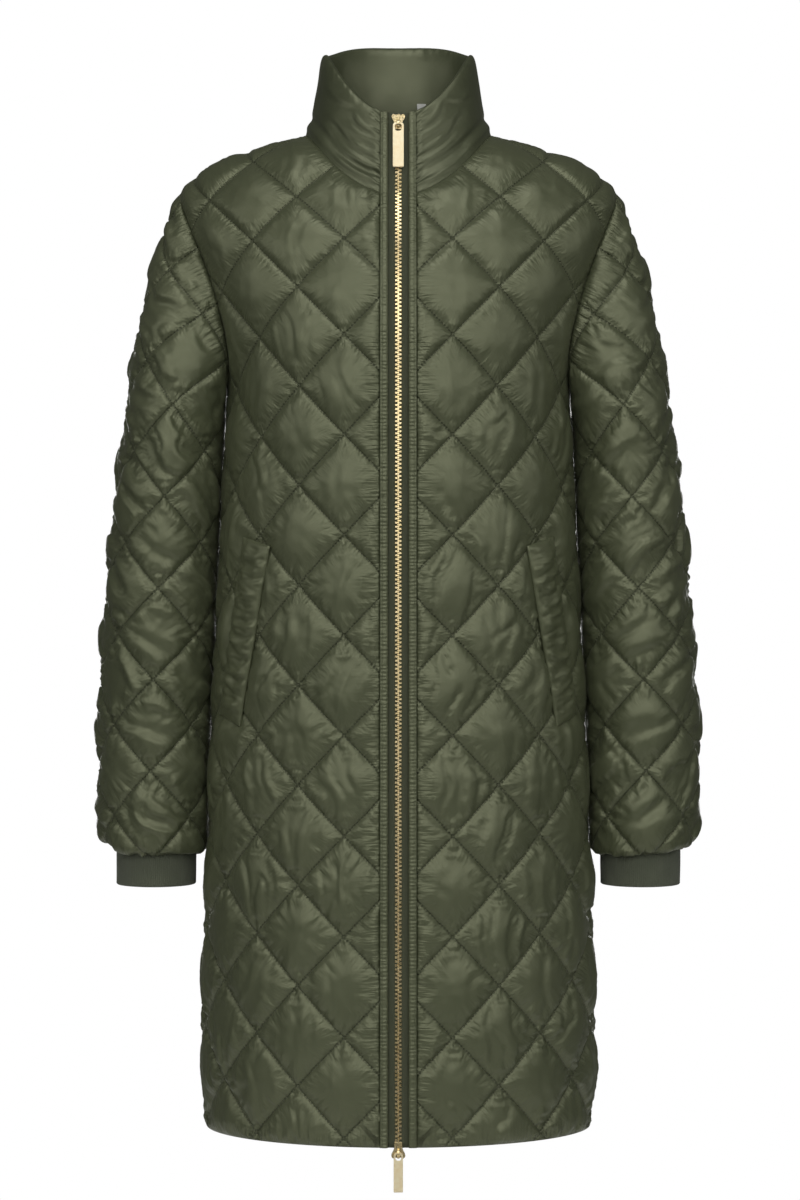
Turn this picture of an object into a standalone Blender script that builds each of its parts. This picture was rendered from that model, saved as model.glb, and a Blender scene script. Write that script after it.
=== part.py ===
"""Quilted long coat, filled out as worn, with the zip closed.

Metres, +Z up, +X to the wearer's left, -Y to the front. The origin lies midway
between the two points where the shoulder seams meet the collar.

Every quilted piece is cut out in the flat, in cloth coordinates (s across,
t upwards), with the stitch lines as diagonals of its grid. The piece is then laid
on the worn form, its outer points raised between the stitches, its inner ones plain.
"""
from collections import namedtuple
from math import asin, atan2, ceil, cos, floor, pi, radians, sin

import bmesh
import bpy
import numpy as np
from mathutils import Matrix, Vector
from mathutils.bvhtree import BVHTree
from mathutils.geometry import delaunay_2d_cdt

# ---------------------------------------------------------------- driving sizes
GAP = 0.0003               # parting between neighbouring pieces
WALL = 0.003               # shell, wadding and inner cloth where they are stitched
PUFF = 0.009               # rise of a filled diamond over its stitch lines
SLEEVE_PUFF = 0.008
SEAM_DIP = 0.022           # distance over which a puff rises from a seam
EDGE_CLEAR = 0.009         # grid points nearer than this to an edge are left out
ROOM_USED = 0.4            # share of the room beside another piece that a puff may fill
ROOM_KEPT = 0.001

HEM = -0.928
ARMPIT = -0.235
SHOULDER_TIP = -0.055
NECK_BACK = 0.006          # height of the neck seam at the centre back
NECK_DROP = -0.0665        # and at the centre front, relative to the shoulder seam
NECK_HALF = 0.087
FRONT_EDGE = 0.016         # the quilted fronts start this far from the centre line

DIAMOND_WIDTH = 0.089
DIAMOND_HEIGHT = 0.0905
BODY_CELL = (DIAMOND_WIDTH / 4, DIAMOND_HEIGHT / 4)
FRONT_START = (0.005, -0.4679)   # a diamond's centre, in cloth coordinates
BACK_START = (0.0, -0.4679)
SLEEVE_RADIUS = 2 * DIAMOND_WIDTH / pi          # four diamonds go round a sleeve
SLEEVE_CELL = (DIAMOND_WIDTH / 4, 0.0845 / 4)
SLEEVE_START = (SLEEVE_RADIUS * pi / 2, -0.425 - 0.0845 / 2)

Section = namedtuple("Section", "z half_width front back")
BODY = (
    Section(-0.928, 0.1800, 0.1390, 0.1240),
    Section(-0.832, 0.1825, 0.1400, 0.1240),
    Section(-0.750, 0.1805, 0.1390, 0.1225),
    Section(-0.678, 0.1785, 0.1380, 0.1210),
    Section(-0.571, 0.1755, 0.1360, 0.1200),
    Section(-0.490, 0.1720, 0.1355, 0.1205),
    Section(-0.363, 0.1660, 0.1360, 0.1240),
    Section(-0.280, 0.1620, 0.1370, 0.1280),
    Section(-0.235, 0.1610, 0.1360, 0.1300),
    Section(-0.200, 0.1680, 0.1340, 0.1305),
    Section(-0.168, 0.1780, 0.1300, 0.1300),
    Section(-0.138, 0.1880, 0.1245, 0.1275),
    Section(-0.110, 0.1980, 0.1170, 0.1225),
    Section(-0.085, 0.2060, 0.1070, 0.1165),
    Section(-0.055, 0.2050, 0.0900, 0.1050),
    Section(-0.036, 0.1830, 0.0765, 0.0950),
    Section(-0.020, 0.1500, 0.0640, 0.0850),
    Section(-0.008, 0.1120, 0.0500, 0.0730),
    Section(0.0000, 0.0870, 0.0400, 0.0640),
    Section(0.0060, 0.0700, 0.0330, 0.0570),
)

# Armhole: a loop of ARM_STEPS stretches in front and as many behind
ARM_STEPS = 8
ARM_MIDDLE = (ARMPIT + SHOULDER_TIP) / 2
ARM_HALF = (SHOULDER_TIP - ARMPIT) / 2
ARM_BITE = {1: radians(22.0), -1: radians(20.0)}   # how far it cuts into front, back
ARM_SQUARE = 0.6                                   # squareness of the loop's ends

# Sleeve below SLEEVE_TOP: outer and inner edge, and depth before and behind
SleeveRing = namedtuple("SleeveRing", "z outer inner front back")
SLEEVE = (
    SleeveRing(-0.680, 0.2750, 0.1815, 0.0520, 0.0560),
    SleeveRing(-0.661, 0.2780, 0.1796, 0.0540, 0.0590),
    SleeveRing(-0.605, 0.2800, 0.1780, 0.0560, 0.0670),
    SleeveRing(-0.540, 0.2795, 0.1755, 0.0580, 0.0720),
    SleeveRing(-0.445, 0.2740, 0.1712, 0.0620, 0.0740),
    SleeveRing(-0.353, 0.2655, 0.1668, 0.0660, 0.0730),
    SleeveRing(-0.270, 0.2555, 0.1632, 0.0680, 0.0700),
    SleeveRing(-0.200, 0.2450, 0.1620, 0.0680, 0.0690),
)
SLEEVE_TOP = -0.270
SLEEVE_HEM = -0.667
HEM_RISE = 0.010           # the hem is higher on the sleeve's outer side
HEM_TURN = 0.005           # radius at which the hem turns in
HEM_SHELF = 0.006          # cloth from the turn to the cuff
LIP_CLEAR = 0.0018         # from the cuff to the corners of the hem's lip

CUFF_RIBS = 48
CUFF_RIB = 0.0005
CUFF_WALL = 0.0022
CuffRing = namedtuple("CuffRing", "z half_width half_depth")
CUFF = (
    CuffRing(-0.7025, 0.0368, 0.0438),
    CuffRing(-0.6720, 0.0370, 0.0440),
    CuffRing(-0.6450, 0.0360, 0.0430),
)
CUFF_CENTRE = (0.2275, 0.0020)

# Collar: heights of its top edge, and its padded section
COLLAR_TOP_HALF = 0.0705
COLLAR_TOP_FRONT = 0.0760
COLLAR_TOP_BACK = 0.0600
COLLAR_SIDE_Z = 0.0765
COLLAR_CORNER = 3.6         # how squarely the top edge turns at the sides of the back
COLLAR_FRONT_Z = 0.0105
COLLAR_BACK_Z = 0.0920
FRONT_STATIONS = 8
BACK_STATIONS = 7
Pad = namedtuple("Pad", "up out")
COLLAR_PAD = (
    Pad(0.16, -0.0018), Pad(0.50, -0.0012), Pad(0.82, 0.0008), Pad(0.96, 0.0002),
    Pad(1.00, -0.0030),
    Pad(0.96, -0.0066), Pad(0.82, -0.0095), Pad(0.50, -0.0108), Pad(0.16, -0.0080),
)
COLLAR_MIDDLE = -0.0026
COLLAR_EDGE_FILL = 0.55

# Zip: edges across, and depths outwards from the line of the fronts
BAND = (0.0092, 0.0157)
BAND_DEPTH = (-0.0010, 0.0012, 0.0022)
TAPE = (0.0033, 0.0154)
TAPE_DEPTH = (-0.0023, -0.0013)
CHAIN_HALF = 0.0030
CHAIN_DEPTH = (-0.0032, -0.0004)
STRIP_STEP = 0.0453
NECK_STEP = 0.0190
STRIP_ROWS = 17
NECK_ROWS = (-6, 4)
STRIP_END = 0.004          # the ends' neighbours stand at least this far off
ZIP_TOP = 0.0115

# Sliders and pulls, measured from the pull's axis
AXIS_OUT = 0.0025
TOP_AXIS_Z = 0.0
BOTTOM_AXIS_Z = -0.9325
SLIDER_SHORT = 0.0050
SLIDER_LONG = 0.0100
FRONT_PLATE = (-0.0035, -0.0017)
BACK_PLATE = (-0.0067, -0.0051)
# the plates' right side: half width, 1 if from the broad end, and how far up from it
SLIDER_OUTLINE = ((0.0036, 0, 0.0), (0.0038, 1, -0.0085), (0.0058, 1, -0.0042),
                  (0.0062, 1, -0.0018), (0.0048, 1, 0.0))
POST = (0.0027, -0.0052, -0.0034)
POST_ENDS = (-0.0030, 0.0060)
# the arch's upper half: along the zip from its middle, and out from the pull's axis
ARCH = ((0.0, 0.0017), (0.0023, 0.0017), (0.0030, 0.0010), (0.0030, -0.0022),
        (0.0042, -0.0022), (0.0042, 0.0014), (0.0027, 0.0029), (0.0, 0.0029))
BRIDGE_HALF = 0.0012
Pull = namedtuple("Pull", "half length hole_half hole_low")
PULL_TOP = Pull(0.0050, 0.0432, 0.0032, 0.0078)
PULL_BOTTOM = Pull(0.0042, 0.0350, 0.0026, 0.0066)
PULL_THICK = 0.0018
PULL_BAR = 0.00095          # half the bar that turns in the bridge
PULL_HEAD_RADIUS = 0.0036
PULL_FOOT_RADIUS = 0.0008

# Pocket welts: the corners, as seen from the front
WELT = ((0.116, -0.387), (0.144, -0.552), (0.164, -0.542), (0.141, -0.378))
WELT_PIECES = 7
WELT_EDGE = 0.0025
WELT_CROWN = 0.0060

# Label: its sides across and its foot and top, on the collar's back, and its depths
LABEL = (0.0020, 0.0108, 0.0020, 0.0175)
LABEL_OUT = (0.0007, 0.0015)

# Points along the pieces' edges
HEM_STEPS = 11
SIDE_STEPS = 30
SHOULDER_STEPS = 6
EDGE_STEPS = 38
SLEEVE_STEPS = 20
LIP_ROWS = (0, 0.42, 0.68)

# Names and the materials that the pieces share
COAT = "quilted_long_coat"
CUTTERS = "cutters"
METALS = {}
FABRICS = {}
OLIVE = (0.076, 0.084, 0.047, 1.0)
OLIVE_RIB = (0.058, 0.068, 0.044, 1.0)
OLIVE_TAPE = (0.062, 0.066, 0.042, 1.0)
GOLD = (0.62, 0.47, 0.26, 1.0)
PALE = (0.62, 0.62, 0.60, 1.0)


# ---------------------------------------------------------------- the worn form
def curve_through(rows, column):
    """A smooth function of z through one column of a table."""
    ordered = sorted(rows, key=lambda row: row.z)
    heights = np.array([row.z for row in ordered])
    values = np.array([getattr(row, column) for row in ordered])
    slopes = np.gradient(values, heights)

    def value(z):
        k = int(np.clip(np.searchsorted(heights, z) - 1, 0, len(heights) - 2))
        span = heights[k + 1] - heights[k]
        u = (z - heights[k]) / span
        start = values[k] * (1 + 2 * u) * (1 - u) ** 2 + slopes[k] * span * u * (1 - u) ** 2
        end = values[k + 1] * u * u * (3 - 2 * u) + slopes[k + 1] * span * u * u * (u - 1)
        return float(start + end)

    return value


half_width = curve_through(BODY, "half_width")
DEPTH = {1: curve_through(BODY, "front"), -1: curve_through(BODY, "back")}

HEIGHTS = np.linspace(HEM - 0.01, NECK_BACK + 0.003, 500)
FRONTS = np.array([DEPTH[1](z) for z in HEIGHTS])
CLOTH = np.concatenate([[0.0], np.cumsum(np.hypot(np.diff(HEIGHTS), np.diff(FRONTS)))])
CLOTH += FRONT_START[1] - np.interp(FRONT_START[1], HEIGHTS, CLOTH)
ANGLES = np.radians(np.linspace(-20, 110, 131))
MIDDLES = (ANGLES[1:] + ANGLES[:-1]) / 2


def cloth_height(z):
    """The length of cloth up to a height, along the centre front."""
    return float(np.interp(z, HEIGHTS, CLOTH))


def worn_height(t):
    return float(np.interp(t, CLOTH, HEIGHTS))


def girth(z, face):
    """Cloth lengths round the section at z, from the centre to each of ANGLES."""
    steps = np.hypot(half_width(z) * np.cos(MIDDLES), DEPTH[face](z) * np.sin(MIDDLES))
    lengths = np.concatenate([[0.0], np.cumsum(steps * np.diff(ANGLES))])
    return lengths - np.interp(0.0, ANGLES, lengths)


def body_point(angle, z, face):
    """A point of the body; face is 1 for the front and -1 for the back."""
    return Vector((half_width(z) * sin(angle), -face * DEPTH[face](z) * cos(angle), z))


def on_body(s, t, face):
    z = worn_height(t)
    angle = float(np.interp(abs(s), girth(z, face), ANGLES))
    return body_point(angle if s >= 0 else -angle, z, face)


def flat_body(angle, z, face):
    """The cloth coordinates of a point of the body."""
    return float(np.interp(angle, ANGLES, girth(z, face))), cloth_height(z)


def across_to(x, z):
    """The angle at which the section at z reaches x."""
    return asin(min(1.0, x / half_width(z)))


def normal_of(place, s, t, outward):
    """The outward normal of a placed sheet, from its slopes."""
    step = 0.0004
    across = place(s + step, t) - place(s - step, t)
    up = place(s, t + step) - place(s, t - step)
    normal = across.cross(up).normalized()
    return normal if normal.dot(outward) > 0 else -normal


# ---------------------------------------------------------------- seams
def armhole_place(turn):
    """Angle and height on the body at a turn of the armhole: 0 at the shoulder,
    positive in front, half a circle at the armpit."""
    face = 1 if turn >= 0 else -1
    bite = ARM_BITE[face] * abs(sin(turn)) ** ARM_SQUARE
    return pi / 2 - bite, ARM_MIDDLE + ARM_HALF * cos(turn), face


def armhole_point(turn):
    return body_point(*armhole_place(turn))


def armhole_seam(turn):
    """Direction from body to sleeve, and the seam's normal."""
    step = radians(6)
    along = (armhole_point(turn + step) - armhole_point(turn - step)).normalized()
    if abs(turn) > pi - step:
        along = Vector((0, 1, 0))
    if abs(turn) < step:
        along = Vector((0, 1, 0))
    outward = Vector((1, 0, -0.35 * (1 + cos(turn))))
    outward = (outward - outward.dot(along) * along).normalized()
    normal = along.cross(outward).normalized()
    middle = Vector((0.18, 0, ARM_MIDDLE))
    if normal.dot(armhole_point(turn) - middle) < 0:
        normal = -normal
    return outward, normal


def neck_turns():
    """The collar's stations from the centre front to the centre back: each a face
    of the body and the turns at the foot and at the top of the collar."""
    stations = []
    foot_start = asin(FRONT_EDGE / NECK_HALF)
    top_start = asin(FRONT_EDGE / COLLAR_TOP_HALF)
    for k in range(FRONT_STATIONS):
        share = k / FRONT_STATIONS
        foot = foot_start + (pi / 2 - foot_start) * share
        top = top_start + (pi / 2 - top_start) * share
        stations.append((1, foot, top))
    for k in range(BACK_STATIONS + 1):
        turn = pi / 2 * (1 - k / BACK_STATIONS)
        stations.append((-1, turn, turn))
    return stations


def neck_place(face, turn):
    drop = NECK_DROP if face > 0 else NECK_BACK
    z = drop * cos(turn) ** 2
    return across_to(NECK_HALF * sin(turn), z), z, face


def neck_point(face, turn):
    return body_point(*neck_place(face, turn))


def collar_top(face, turn):
    end = COLLAR_FRONT_Z if face > 0 else COLLAR_BACK_Z
    depth = COLLAR_TOP_FRONT if face > 0 else COLLAR_TOP_BACK
    reach = cos(turn) ** 2 if face > 0 else 1 - abs(sin(turn)) ** COLLAR_CORNER
    z = COLLAR_SIDE_Z + (end - COLLAR_SIDE_Z) * reach
    return Vector((COLLAR_TOP_HALF * sin(turn), -face * depth * cos(turn), z))


def collar_frame(face, foot, top):
    """The collar's foot, its line upwards and its outward normal at a station."""
    step = radians(2)
    base = neck_point(face, foot)
    rise = collar_top(face, top) - base
    low = neck_point(face, foot - step)
    along = neck_point(face, min(foot + step, pi / 2)) - low
    along += collar_top(face, min(top + step, pi / 2)) - collar_top(face, top - step)
    if foot < radians(1):
        along = Vector((1, 0, 0))
    if abs(base.x - FRONT_EDGE) < 1e-6:
        along = Vector((1, 0, 0))
    if foot > radians(89):
        along = Vector((0, 1, 0))
    normal = along.cross(rise).normalized()
    if normal.dot(Vector((base.x, base.y, 0))) < 0:
        normal = -normal
    return base, rise, normal


def neck_seam(face, foot, top):
    """Direction from body to collar, and the seam's normal."""
    base, rise, normal = collar_frame(face, foot, top)
    s, t = flat_body(*neck_place(face, foot))
    body = normal_of(lambda a, b: on_body(a, b, face), s, t, Vector((base.x, base.y, 0.02)))
    if abs(base.x - FRONT_EDGE) < 1e-6 or base.x < 1e-6:
        body.x = 0
    if foot > radians(89):
        body.y = 0
    seam = (normal + body.normalized()).normalized()
    upward = (rise - rise.dot(seam) * seam).normalized()
    return upward, seam


# ---------------------------------------------------------------- cutting in the flat
Edge = namedtuple("Edge", "s t shift normal")
NO_SHIFT = Vector((0, 0, 0))


def edge(place, shift=NO_SHIFT, normal=None):
    return Edge(place[0], place[1], shift, normal)


def distances(points, borders):
    """The distance of every point to the nearest border stretch."""
    near = np.full(len(points), np.inf)
    for start, end in borders:
        a, b = np.array(start), np.array(end)
        along = b - a
        share = np.clip(((points - a) @ along) / max(along @ along, 1e-18), 0, 1)
        near = np.minimum(near, np.linalg.norm(points - (a + share[:, None] * along), axis=1))
    return near


def inside(point, ring):
    hit = False
    for (x1, y1), (x2, y2) in zip(ring, ring[1:] + ring[:1]):
        if (y1 > point[1]) != (y2 > point[1]):
            if point[0] < x1 + (point[1] - y1) * (x2 - x1) / (y2 - y1):
                hit = not hit
    return hit


def puff(i, j):
    """The swell of the quilting at a place counted in grid cells from a centre."""
    return abs(cos(pi * (i + j) / 4) * cos(pi * (i - j) / 4)) ** 0.8


def grid_inside(ring, borders, bare, start, cell):
    """The grid points well inside a piece and outside its bare places, by column and row."""
    low, high = np.min(ring, axis=0), np.max(ring, axis=0)
    keys, spots = [], []
    for i in range(floor((low[0] - start[0]) / cell[0]), ceil((high[0] - start[0]) / cell[0]) + 1):
        for j in range(floor((low[1] - start[1]) / cell[1]), ceil((high[1] - start[1]) / cell[1]) + 1):
            spot = (start[0] + i * cell[0], start[1] + j * cell[1])
            if inside(spot, ring) and not any(inside(spot, place) for place in bare):
                keys.append((i, j))
                spots.append(spot)
    clear = distances(np.array(spots), borders)
    return {key: spot for key, spot, far in zip(keys, spots, clear) if far > EDGE_CLEAR}


def stitch_lines(grid, ring, borders):
    """The cell diagonals that run along or beside the stitch lines."""
    lines = []
    for (i, j) in grid:
        rising = (i - j) % 4 == 2 or ((i - j) % 2 == 1 and (i + j + 1) % 4 != 2)
        ends = ((i, j), (i + 1, j + 1)) if rising else ((i + 1, j), (i, j + 1))
        if all(end in grid for end in ends):
            lines.append(ends)
    middles = np.array([(np.array(grid[a]) + np.array(grid[b])) / 2 for a, b in lines])
    clear = distances(middles, borders)
    return [line for line, far in zip(lines, clear) if far > EDGE_CLEAR / 2]


def cut_out(outline, creases, start, cell, height):
    """Cut a piece in the flat: its points, their rise and its triangles.
    A crease is a line of points that the stitching holds down; a closed one
    surrounds a bare place."""
    ring = [(mark.s, mark.t) for mark in outline]
    points = list(ring)
    lines = [(k, (k + 1) % len(ring)) for k in range(len(ring))]
    borders = [(points[a], points[b]) for a, b in lines]
    for crease in creases:
        first = len(points)
        points += crease
        stretches = [(first + k, first + k + 1) for k in range(len(crease) - 1)]
        lines += stretches
        borders += [(points[a], points[b]) for a, b in stretches]
    bare = [crease[:-1] for crease in creases if crease[0] == crease[-1]]
    grid = grid_inside(ring, borders, bare, start, cell)
    order = {key: len(points) + k for k, key in enumerate(grid)}
    points += list(grid.values())
    lines += [(order[a], order[b]) for a, b in stitch_lines(grid, ring, borders)]
    found = delaunay_2d_cdt([Vector(spot) for spot in points], lines, [], 0, 1e-7)
    spots = [tuple(spot) for spot in found[0]]
    sources = found[3]
    triangles = []
    for tri in found[2]:
        middle = np.mean([spots[k] for k in tri], axis=0)
        if inside(middle, ring):
            triangles.append([sources[k][0] for k in tri])
    fade = np.sqrt(np.clip(distances(np.array(points), borders) / SEAM_DIP, 0, 1))
    rise = [0.0] * (len(points) - len(grid))
    for key, far in zip(grid, fade[len(rise):]):
        rise.append(height * puff(*key) * float(far))
    return points, rise, triangles


class Piece:
    """A piece of cloth laid on the worn form, before it gets its thickness."""

    def __init__(self, outline, creases, start, cell, height, place, outward):
        self.flat, self.rise, self.triangles = cut_out(outline, creases, start, cell, height)
        self.points, self.normals = [], []
        for s, t in self.flat:
            spot = place(s, t)
            self.points.append(spot)
            self.normals.append(normal_of(place, s, t, outward(spot)))
        for k, mark in enumerate(outline):
            self.points[k] = self.points[k] + mark.shift
            if mark.normal is not None:
                self.normals[k] = mark.normal

    def keep_clear(self, other):
        """Lower the quilting where another piece lies close."""
        tree = BVHTree.FromPolygons(other.points, other.triangles)
        for k, spot in enumerate(self.points):
            if self.rise[k] > 0:
                distance = tree.find_nearest(spot)[3]
                self.rise[k] = min(self.rise[k], max(0.0, ROOM_USED * (distance - ROOM_KEPT)))


# ---------------------------------------------------------------- making solids
def finish_mesh(name, bm, material, side=1):
    """Turn a closed bmesh into a named object; side -1 mirrors it."""
    if side < 0:
        bmesh.ops.scale(bm, vec=(-1, 1, 1), verts=bm.verts)
    bmesh.ops.triangulate(bm, faces=[f for f in bm.faces if len(f.verts) > 3])
    bmesh.ops.recalc_face_normals(bm, faces=bm.faces)
    mesh = bpy.data.meshes.new(name)
    bm.to_mesh(mesh)
    bm.free()
    mesh.materials.append(material)
    thing = bpy.data.objects.new(name, mesh)
    bpy.data.collections[COAT].objects.link(thing)
    mesh.shade_smooth()
    mesh.set_sharp_from_angle(angle=radians(40))
    return thing


def wall(name, points, normals, low, high, triangles, material, side, joined=None):
    """A closed wall over a triangulated sheet, between two offsets along its normals.
    An edge whose ends both satisfy joined is sewn to its partner instead of closed."""
    bm = bmesh.new()
    used = sorted({k for tri in triangles for k in tri})
    outer = {k: bm.verts.new(points[k] + normals[k] * high[k]) for k in used}
    inner = {k: bm.verts.new(points[k] + normals[k] * low[k]) for k in used}
    count = {}
    for a, b, c in triangles:
        bm.faces.new((outer[a], outer[b], outer[c]))
        bm.faces.new((inner[c], inner[b], inner[a]))
        for start, end in ((a, b), (b, c), (c, a)):
            count[(start, end)] = True
    for start, end in count:
        if (end, start) in count:
            continue
        if joined and joined(start) and joined(end):
            continue
        bm.faces.new((outer[end], outer[start], inner[start], inner[end]))
    if joined:
        bmesh.ops.remove_doubles(bm, verts=bm.verts, dist=0.00001)
    return finish_mesh(name, bm, material, side)


def loft(name, sections, material, side=1, closed=False):
    """A solid through sections of equally many points, capped unless it closes."""
    bm = bmesh.new()
    rings = [[bm.verts.new(spot) for spot in section] for section in sections]
    pairs = list(zip(rings, rings[1:]))
    if closed:
        pairs.append((rings[-1], rings[0]))
    for first, second in pairs:
        size = len(first)
        for k in range(size):
            nxt = (k + 1) % size
            bm.faces.new((first[k], first[nxt], second[nxt], second[k]))
    if not closed:
        bm.faces.new(list(reversed(rings[0])))
        bm.faces.new(rings[-1])
    return finish_mesh(name, bm, material, side)


def principled(name, colour, roughness, metallic=0.0):
    material = bpy.data.materials.new(name)
    material.use_nodes = True
    shader = material.node_tree.nodes["Principled BSDF"]
    shader.inputs["Base Color"].default_value = colour
    shader.inputs["Roughness"].default_value = roughness
    shader.inputs["Metallic"].default_value = metallic
    return material


# ---------------------------------------------------------------- outlines
def share(start, end, steps):
    """The values from start up to, but without, end."""
    return [start + (end - start) * k / steps for k in range(steps)]


def body_outline(face):
    """The edge of a front, or of the +X half of the back, from the hem's inner end."""
    apart = Vector((0, -face * GAP / 2, 0))
    first = across_to(FRONT_EDGE, HEM) if face > 0 else 0.0
    marks = []
    for angle in share(first, pi / 2, HEM_STEPS):
        marks.append(edge(flat_body(angle, HEM, face)))
    for z in share(HEM, ARMPIT, SIDE_STEPS):
        marks.append(edge(flat_body(pi / 2, z, face), apart))
    for turn in share(pi, 0, ARM_STEPS):
        turn = max(turn, 0) * face
        outward, normal = armhole_seam(turn)
        shift = -outward * GAP / 2
        if abs(turn) == pi:
            shift = shift + apart
        marks.append(edge(flat_body(*armhole_place(turn)[:2], face), shift, normal))
    outward, normal = armhole_seam(0)
    tip = flat_body(pi / 2, SHOULDER_TIP, face)
    marks.append(edge(tip, apart - outward * GAP / 2, normal))
    for z in share(SHOULDER_TIP, 0, SHOULDER_STEPS)[1:]:
        marks.append(edge(flat_body(pi / 2, z, face), apart))
    stations = [row for row in neck_turns() if row[0] == face]
    if face > 0:
        stations = stations[::-1]
    side = (face, pi / 2, pi / 2)
    upward, normal = neck_seam(*side)
    marks.append(edge(flat_body(pi / 2, 0, face), apart - upward * GAP / 2, normal))
    for row in stations:
        if row[1] > radians(89):
            continue
        upward, normal = neck_seam(*row)
        marks.append(edge(flat_body(*neck_place(face, row[1])[:2], face), -upward * GAP / 2, normal))
    return marks


def front_outline():
    """A whole front: the half outline, closed along the zip band."""
    marks = body_outline(1)
    top = worn_height(marks[-1].t)
    for z in share(top, HEM, EDGE_STEPS)[1:]:
        place = flat_body(across_to(FRONT_EDGE, z), z, 1)
        marks.append(edge(place, NO_SHIFT, centre_normal(z)))
    corner = marks[0]
    marks[0] = Edge(corner.s, corner.t, NO_SHIFT, centre_normal(HEM))
    return marks


def centre_normal(z):
    """The outward normal of the centre front, which has no sideways part."""
    step = 0.001
    slope = (centre_front(z + step) - centre_front(z - step)) / (2 * step)
    return Vector((0, -1, -slope)).normalized()


def back_outline():
    """The whole back: the half outline and its mirror image."""
    marks = body_outline(-1)
    mirrored = []
    for mark in marks[::-1]:
        if mark.s > 1e-6:
            flip = Vector((-1, 1, 1))
            normal = mark.normal * flip if mark.normal is not None else None
            mirrored.append(Edge(-mark.s, mark.t, mark.shift * flip, normal))
    return marks + mirrored


def welt_creases():
    """The welt's outline and its middle line, in cloth coordinates."""
    corners = [Vector((x, z)) for x, z in WELT]
    inner = [corners[0].lerp(corners[1], k / WELT_PIECES) for k in range(WELT_PIECES + 1)]
    outer = [corners[3].lerp(corners[2], k / WELT_PIECES) for k in range(WELT_PIECES + 1)]
    ring = inner + outer[::-1]
    middle = [(a + b) / 2 for a, b in zip(inner, outer)][1:-1]
    place = [flat_body(across_to(*spot), spot[1], 1) for spot in ring + ring[:1]]
    line = [flat_body(across_to(*spot), spot[1], 1) for spot in middle]
    return place, line


# ---------------------------------------------------------------- sleeves
sleeve_outer = curve_through(SLEEVE, "outer")
sleeve_inner = curve_through(SLEEVE, "inner")
SLEEVE_DEPTH = {1: curve_through(SLEEVE, "front"), -1: curve_through(SLEEVE, "back")}


def sleeve_ring(turn, z):
    """Across and depth of the hanging sleeve; turn 0 is its outer side."""
    outer, inner = sleeve_outer(z), sleeve_inner(z)
    middle = (SLEEVE_DEPTH[-1](z) - SLEEVE_DEPTH[1](z)) / 2
    half = (SLEEVE_DEPTH[-1](z) + SLEEVE_DEPTH[1](z)) / 2
    x = (outer + inner) / 2 + (outer - inner) / 2 * cos(turn)
    return np.array((x, middle - half * sin(turn)))


def hem_height(turn):
    return SLEEVE_HEM + HEM_RISE * max(0.0, cos(turn)) ** 2


def sleeve_cap(turn, z):
    """The cap, which swings from the armhole into the hanging sleeve."""
    start = armhole_point(turn)
    span = start.z - SLEEVE_TOP
    u = (start.z - z) / span
    step = 0.002
    low = sleeve_ring(turn, SLEEVE_TOP)
    fall = (sleeve_ring(turn, SLEEVE_TOP - step) - low) / step
    rise = np.array((0.12 + 0.14 * (1 + cos(turn)), -0.25 * sin(turn)))
    head = np.array((start.x, start.y))
    spot = head * (1 + 2 * u) * (1 - u) ** 2 + rise * span * u * (1 - u) ** 2
    spot = spot + low * u * u * (3 - 2 * u) + fall * span * u * u * (u - 1)
    return Vector((spot[0], spot[1], z))


def cuff_ring(turn, z, clear=0.0):
    ring = [curve_through(CUFF, name)(z) + clear for name in ("half_width", "half_depth")]
    return np.array((CUFF_CENTRE[0] + ring[0] * cos(turn), CUFF_CENTRE[1] - ring[1] * sin(turn)))


def sleeve_hem(turn, beyond):
    """The turned-in hem, at a length of cloth beyond the hem's fold."""
    z = hem_height(turn)
    ring = sleeve_ring(turn, z)
    goal = cuff_ring(turn, z - HEM_TURN, LIP_CLEAR)
    reach = float(np.linalg.norm(goal - ring))
    quarter = HEM_TURN * pi / 2
    angle = min(beyond / HEM_TURN, pi / 2)
    inward = HEM_TURN * (1 - cos(angle))
    inward += max(0.0, beyond - quarter) / HEM_SHELF * (reach - HEM_TURN)
    spot = ring + (goal - ring) / reach * inward
    return Vector((spot[0], spot[1], z - HEM_TURN * sin(angle)))


def on_sleeve(s, t):
    """A point of the +X sleeve; below its hem the cloth turns in."""
    turn = s / SLEEVE_RADIUS
    fold = hem_height(turn)
    if t < fold:
        return sleeve_hem(turn, fold - t)
    if t < SLEEVE_TOP:
        spot = sleeve_ring(turn, t)
        return Vector((spot[0], spot[1], t))
    return sleeve_cap(turn, t)


def sleeve_turns():
    steps = 2 * ARM_STEPS
    return [-pi + 2 * pi * k / steps for k in range(steps + 1)]


def sleeve_outline():
    marks = []
    depth = HEM_TURN * pi / 2 + HEM_SHELF
    for turn in sleeve_turns()[:-1]:
        marks.append(edge((turn * SLEEVE_RADIUS, hem_height(turn) - depth)))
    lips = [-depth + depth * row for row in LIP_ROWS]
    heights = [SLEEVE_HEM + lip for lip in lips] + share(SLEEVE_HEM, ARMPIT, SLEEVE_STEPS)
    for z in heights:
        marks.append(edge((pi * SLEEVE_RADIUS, z)))
    for turn in sleeve_turns()[::-1]:
        outward, normal = armhole_seam(turn)
        top = armhole_point(turn).z
        marks.append(edge((turn * SLEEVE_RADIUS, top), outward * GAP / 2, normal))
    for z in heights[:0:-1]:
        marks.append(edge((-pi * SLEEVE_RADIUS, z)))
    return marks


def sleeve_creases():
    """The hem's fold and its turn, which no puff crosses."""
    quarter = HEM_TURN * pi / 2
    lines = []
    for beyond in (0.0, quarter / 2, quarter):
        line = []
        for turn in sleeve_turns()[1:-1]:
            line.append((turn * SLEEVE_RADIUS, hem_height(turn) - beyond))
        lines.append(line)
    return lines


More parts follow.
